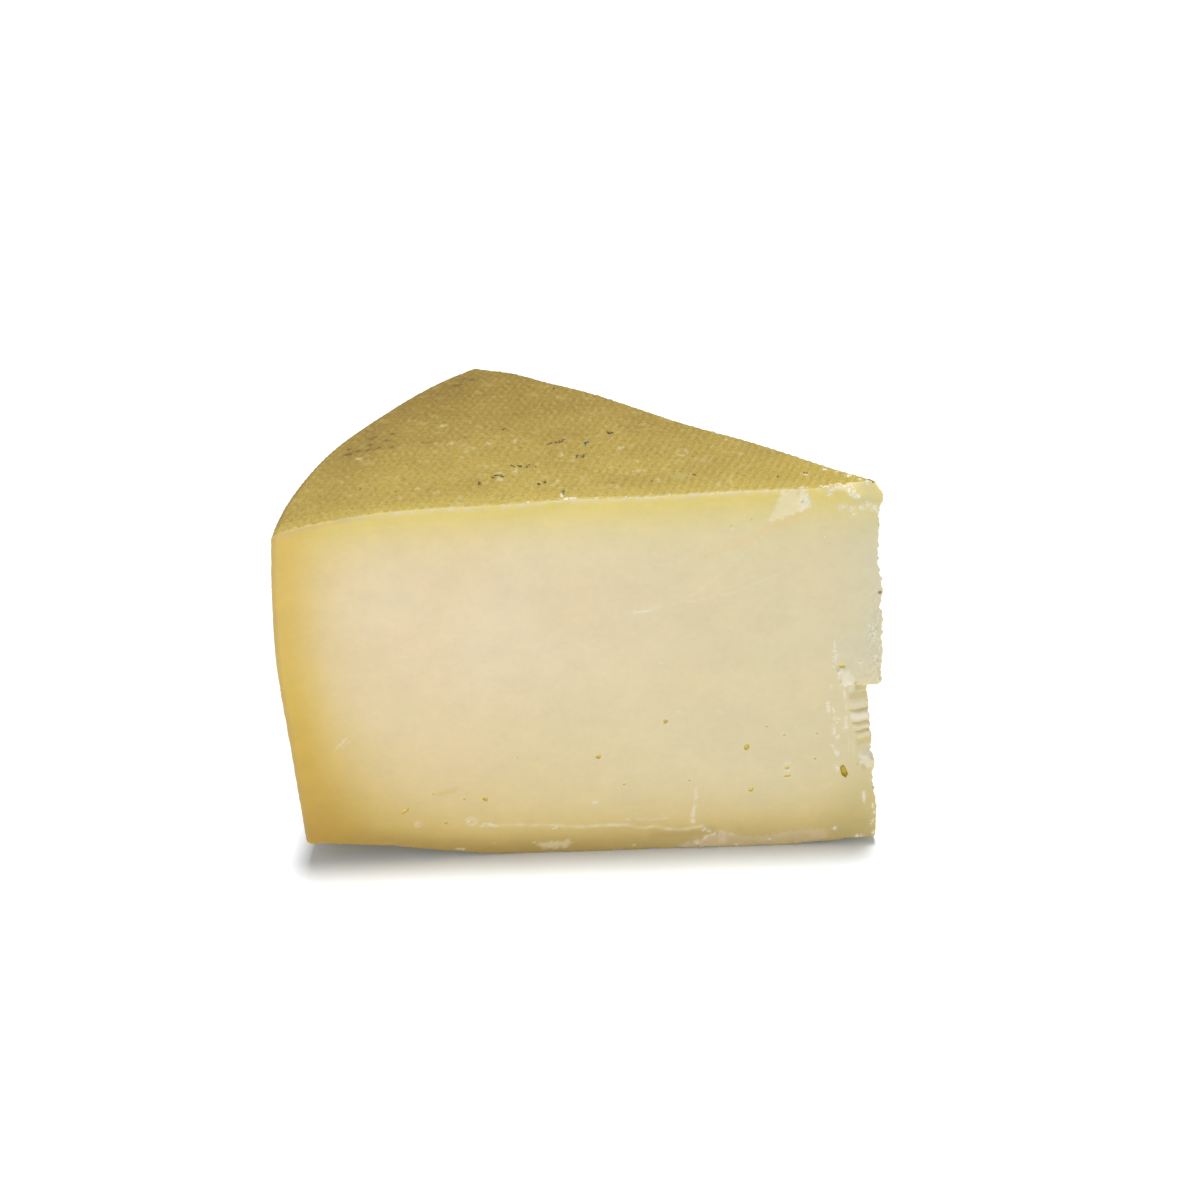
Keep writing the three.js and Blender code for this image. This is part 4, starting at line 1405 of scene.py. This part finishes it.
def dress(material, layer, grains, stretch, mottle, bump_depth, **surface):
    """Gives a material its painted colour, a mottle over it, a fine grain in height, and its finish."""
    material.use_nodes = True
    links = material.node_tree.links
    shader = material.node_tree.nodes["Principled BSDF"]
    painted = texture(material, "ShaderNodeAttribute", attribute_name=layer)
    where = texture(material, "ShaderNodeTexCoord")
    stretched = texture(material, "ShaderNodeMapping", scale=stretch)
    links.new(where.outputs["Object"], stretched.inputs["Vector"])
    clouds = texture(material, "ShaderNodeTexNoise", scale=grains[0], **CLOUD_DETAIL)
    links.new(stretched.outputs["Vector"], clouds.inputs["Vector"])
    span = texture(material, "ShaderNodeMapRange", from_min=0.3, from_max=0.7)
    span.inputs["To Min"].default_value = 1 - mottle
    span.inputs["To Max"].default_value = 1 + mottle
    links.new(clouds.outputs["Fac"], span.inputs["Value"])
    tone = texture(material, "ShaderNodeHueSaturation")
    links.new(painted.outputs["Color"], tone.inputs["Color"])
    links.new(span.outputs["Result"], tone.inputs["Value"])
    links.new(tone.outputs["Color"], shader.inputs["Base Color"])
    fine = texture(material, "ShaderNodeTexNoise", scale=grains[1], **GRAIN_DETAIL)
    links.new(stretched.outputs["Vector"], fine.inputs["Vector"])
    bump = texture(material, "ShaderNodeBump", strength=1.0, distance=bump_depth * MM)
    links.new(fine.outputs["Fac"], bump.inputs["Height"])
    links.new(bump.outputs["Normal"], shader.inputs["Normal"])
    for name, value in surface.items():
        shader.inputs[name.replace("_", " ")].default_value = value


print("noise in colour:", CLOUD_DETAIL, "and in height:", GRAIN_DETAIL)

# %% Dress the cut, the rind and the eyes
paste_skin, rind_skin, eye_skin = skin_materials
soft = {"Subsurface_Weight": 0.4, "Subsurface_Radius": (1.0, 0.65, 0.3), "Subsurface_Scale": 2.5 * MM}
dress(
    paste_skin,
    "paste_colour",
    grains=(180, 800),
    stretch=(0.8, 0.8, 1.0),
    mottle=0.045,
    bump_depth=0.06,
    Roughness=0.5,
    **soft,
)
dress(
    rind_skin,
    "rind_colour",
    grains=(1300, 3000),
    stretch=(1, 1, 1),
    mottle=0.26,
    bump_depth=0.18,
    Roughness=0.75,
    Specular_IOR_Level=0.3,
)
dress(
    eye_skin,
    "paste_colour",
    grains=(300, 1500),
    stretch=(1, 1, 1),
    mottle=0.02,
    bump_depth=0.03,
    Roughness=0.3,
)
print("materials:", ", ".join(material.name for material in skin_materials))

# %% [markdown]
# ## Crumbs, dust and specks
#
# The crumbs of the listed clumps are small dented balls, pressed flat against the surface where a probe
# from outside meets it. So a crumb can't float, whatever the surface does there. The rind has picked up
# a few dark specks and fibres on the shelf, and they are made in the same way.

# %% Probe the surface
PROBE_IN_FRONT = -15
PROBE_ABOVE = 130


def probe(start, direction):
    """The first place on the wedge that a straight probe meets, and which way it faces there."""
    hit, place, facing, _ = wedge.ray_cast(to_metres(start).tolist(), direction)
    return (to_millimetres(place), np.array(facing)) if hit else None


def from_front(x, z):
    """Probes the front cut."""
    return probe((x, PROBE_IN_FRONT, z), (0, 1, 0))


def from_above(x, y):
    """Probes the upper face."""
    return probe((x, y, PROBE_ABOVE), (0, 0, -1))


bpy.context.view_layer.update()
print("the probe meets the front cut at", from_front(-80, 50)[0].round(2))

# %% Tools for crumbs
CRUMB_FLATNESS = 0.35
crumb_points, crumb_faces = small_ball(2)


def crumb(place, facing, size, draw):
    """Points of one crumb that lies on a surface."""
    side = np.cross(facing, draw.normal(size=3))
    side /= np.linalg.norm(side)
    turn = np.stack([side, np.cross(facing, side), facing])
    dented = crumb_points * (1 + draw.uniform(-0.3, 0.3, (len(crumb_points), 1)))
    stretch = size * np.array([draw.uniform(0.6, 1.5), draw.uniform(0.5, 1.1), CRUMB_FLATNESS])
    return place + (dented * stretch) @ turn


def strew(name, spots, most, look, seed):
    """One piece of crumbs in clumps. A spot is a probe, middle, half size, count and crumb size."""
    draw = np.random.default_rng(seed)
    points, faces = [], []
    for reach, middle, half, count, size in spots:
        for _ in range(count):
            clump = np.array(middle) + np.clip(draw.normal(size=2) * 0.5, -1, 1) * half
            for _ in range(draw.integers(1, most + 1)):
                met = reach(*(clump + draw.normal(size=2) * 0.6 * size))
                if met is None:
                    continue
                first = len(points) * len(crumb_points)
                points.append(crumb(*met, size * draw.uniform(0.6, 1.3), draw))
                faces += [[first + corner for corner in face] for face in crumb_faces]
    piece = mesh_object(name, np.concatenate(points), faces, 0)
    piece.data.materials.clear()
    piece.data.materials.append(look)
    piece.data.shade_smooth()
    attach(piece, "root")
    print(name, len(points), "crumbs")
    return piece


def plain_material(name, colour, roughness):
    """A material for something too small to show any texture of its own."""
    material = bpy.data.materials.new(name)
    material.use_nodes = True
    shader = material.node_tree.nodes["Principled BSDF"]
    shader.inputs["Base Color"].default_value = (*linear(colour), 1)
    shader.inputs["Roughness"].default_value = roughness
    return material


print("points in one crumb:", len(crumb_points))

# %% Strew the pale crumbs
pale_spots = [
    (reach, clump[:2], clump[2:4], *clump[4:])
    for reach, clumps in ((from_front, FRONT_CLUMPS), (from_above, TOP_CLUMPS))
    for clump in clumps
]
crumb_look = plain_material("pale_crumb", (224, 216, 188), 0.6)
pale_crumbs = strew("pale_crumbs", pale_spots, most=6, look=crumb_look, seed=401)

# %% [markdown]
# A fibre is a stroke: a row of specks so close that they join. The one blue speck is such a row too.

# %% Strew the dark specks
DARK_SPOTS = (
    (from_above, (-97.8, 47.8), (0.2, 0.3), 4, 0.5),
    (from_above, (-83.0, 73.8), (0.15, 0.15), 3, 0.45),
    (from_above, (-74.0, 32.5), (0.15, 0.2), 2, 0.45),
    (from_above, (-136.1, 17.7), (0.15, 0.15), 3, 0.5),
    (from_above, (-47.4, 12.0), (0.15, 0.2), 3, 0.5),
    (from_above, (-98.1, 3.5), (0.2, 0.2), 2, 0.4),
    (from_above, (-25.6, 7.8), (0.2, 0.2), 2, 0.5),
    (from_above, (-89.6, 21.5), (0.1, 0.2), 3, 0.45),
    (from_above, (-58.9, 9.6), (0.2, 0.2), 2, 0.35),
    (from_above, (-80.7, 38.5), (0.15, 0.2), 2, 0.4),
    (from_above, (-18.5, 9.2), (0.3, 0.2), 3, 0.45),
    (from_front, (-38.9, 102.2), (0.08, 0.08), 2, 0.28),
    (from_front, (-33.1, 104.3), (0.08, 0.08), 1, 0.3),
    (from_above, (-2.0, 3.3), (0.2, 0.2), 3, 0.4),
)
STROKES = (
    ((-86.0, 35.6), (-84.5, 37.1)),
    ((-85.0, 36.4), (-81.4, 38.7)),
    ((-83.4, 36.7), (-81.2, 37.1)),
    ((-69.2, 42.0), (-68.9, 40.4)),
    ((-68.9, 40.4), (-68.1, 41.3)),
    ((-100.1, 17.3), (-98.8, 17.6)),
    ((-98.3, 17.2), (-97.9, 16.4)),
    ((-100.7, 16.2), (-100.2, 16.0)),
    ((-77.8, 27.8), (-77.9, 26.0)),
    ((-76.4, 27.7), (-76.5, 25.7)),
    ((-91.8, 21.0), (-90.8, 22.9)),
    ((-95.5, 23.0), (-94.9, 22.4)),
    ((-93.6, 22.8), (-93.2, 22.0)),
    ((-104.1, 13.8), (-104.1, 12.3)),
    ((-88.4, 10.6), (-88.4, 9.9)),
    ((-86.8, 11.8), (-86.7, 10.3)),
    ((-82.1, 5.8), (-82.2, 3.4)),
)
STROKE_HALF = (0.08, 0.08)
STROKE_SPECK = 0.34
SPECKS_IN_STROKE = 15


def stroke(start, end, count, size):
    """Spots of one speck each, in a row between two places on the upper face."""
    start, end = np.array(start), np.array(end)
    places = [start + (end - start) * share for share in np.linspace(0, 1, count)]
    return [(from_above, tuple(place), STROKE_HALF, 1, size) for place in places]


stroke_spots = sum((stroke(*ends, SPECKS_IN_STROKE, STROKE_SPECK) for ends in STROKES), [])
dark_look = plain_material("dark_speck", (74, 60, 36), 0.8)
dark_specks = strew("dark_specks", [*DARK_SPOTS, *stroke_spots], most=2, look=dark_look, seed=403)

# %% Lay the blue speck
BLUE_STROKE = ((-75.5, 34.7), (-74.8, 35.9))
blue_spots = stroke(*BLUE_STROKE, count=5, size=0.6)
blue_look = plain_material("blue_speck", (62, 80, 90), 0.7)
blue_speck = strew("blue_speck", blue_spots, most=2, look=blue_look, seed=405)

# %% [markdown]
# ## Floor and light
#
# The wedge stands on a pale floor in a white room. Most light comes from straight above and a little
# behind, from a source ten degrees across, so the shadow lies close along the front and fades within a
# few centimetres. A low, wide lamp in front and the bright surround light the cut. The floor only shows
# where the wedge keeps the light off it.

# %% Lay the floor
FLOOR_HALF = 3
FLOOR_COLOUR = (0.88, 0.905, 0.93, 1)
FLOOR_ROUGHNESS = 0.9

corners = [(-1, -1), (1, -1), (1, 1), (-1, 1)]
floor_mesh = bpy.data.meshes.new("floor")
floor_mesh.from_pydata([(FLOOR_HALF * a, FLOOR_HALF * b, 0) for a, b in corners], [], [(0, 1, 2, 3)])
floor = bpy.data.objects.new("floor", floor_mesh)
bpy.context.scene.collection.objects.link(floor)
pale = bpy.data.materials.new("pale_floor")
pale.use_nodes = True
pale.node_tree.nodes["Principled BSDF"].inputs["Base Color"].default_value = FLOOR_COLOUR
pale.node_tree.nodes["Principled BSDF"].inputs["Roughness"].default_value = FLOOR_ROUGHNESS
floor_mesh.materials.append(pale)
print("floor:", 2 * FLOOR_HALF, "m across")

# %% Set the room and the lights
ROOM_LIGHT = 0.35
FRONT_LAMP_PLACE = (0.0, -1.25, 0.3)
FRONT_LAMP_TARGET = (0, 0, 0.05)
FRONT_LAMP_SIZE = 1.0
FRONT_LAMP_POWER = 8.0
OVERHEAD_POWER = 3.3
OVERHEAD_ACROSS = math.radians(10)
OVERHEAD_LEAN = math.radians(-5)

world = bpy.data.worlds.new("white_room")
bpy.context.scene.world = world
world.use_nodes = True
world.node_tree.nodes["Background"].inputs["Color"].default_value = (1, 1, 1, 1)
world.node_tree.nodes["Background"].inputs["Strength"].default_value = ROOM_LIGHT


def add_lamp(name, place, target, size, power):
    """A square area lamp at a place, turned to a target."""
    data = bpy.data.lights.new(name, "AREA")
    data.size = size
    data.energy = power
    lamp = bpy.data.objects.new(name, data)
    away = np.array(place, float) - target
    tip = math.atan2(math.hypot(away[0], away[1]), away[2])
    lamp.rotation_euler = (tip, 0, math.atan2(away[0], -away[1]))
    lamp.location = place
    bpy.context.scene.collection.objects.link(lamp)


add_lamp("front", FRONT_LAMP_PLACE, FRONT_LAMP_TARGET, FRONT_LAMP_SIZE, FRONT_LAMP_POWER)
overhead = bpy.data.objects.new("overhead", bpy.data.lights.new("overhead", "SUN"))
overhead.data.energy = OVERHEAD_POWER
overhead.data.angle = OVERHEAD_ACROSS
overhead.rotation_euler = (OVERHEAD_LEAN, 0, 0)
bpy.context.scene.collection.objects.link(overhead)
bpy.context.scene.view_settings.view_transform = "Standard"
print("lamps:", [lamp.name for lamp in bpy.data.lights])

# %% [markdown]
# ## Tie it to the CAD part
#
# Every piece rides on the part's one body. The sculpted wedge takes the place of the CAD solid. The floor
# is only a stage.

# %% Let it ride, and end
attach(wedge, "root")
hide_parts(NODE)
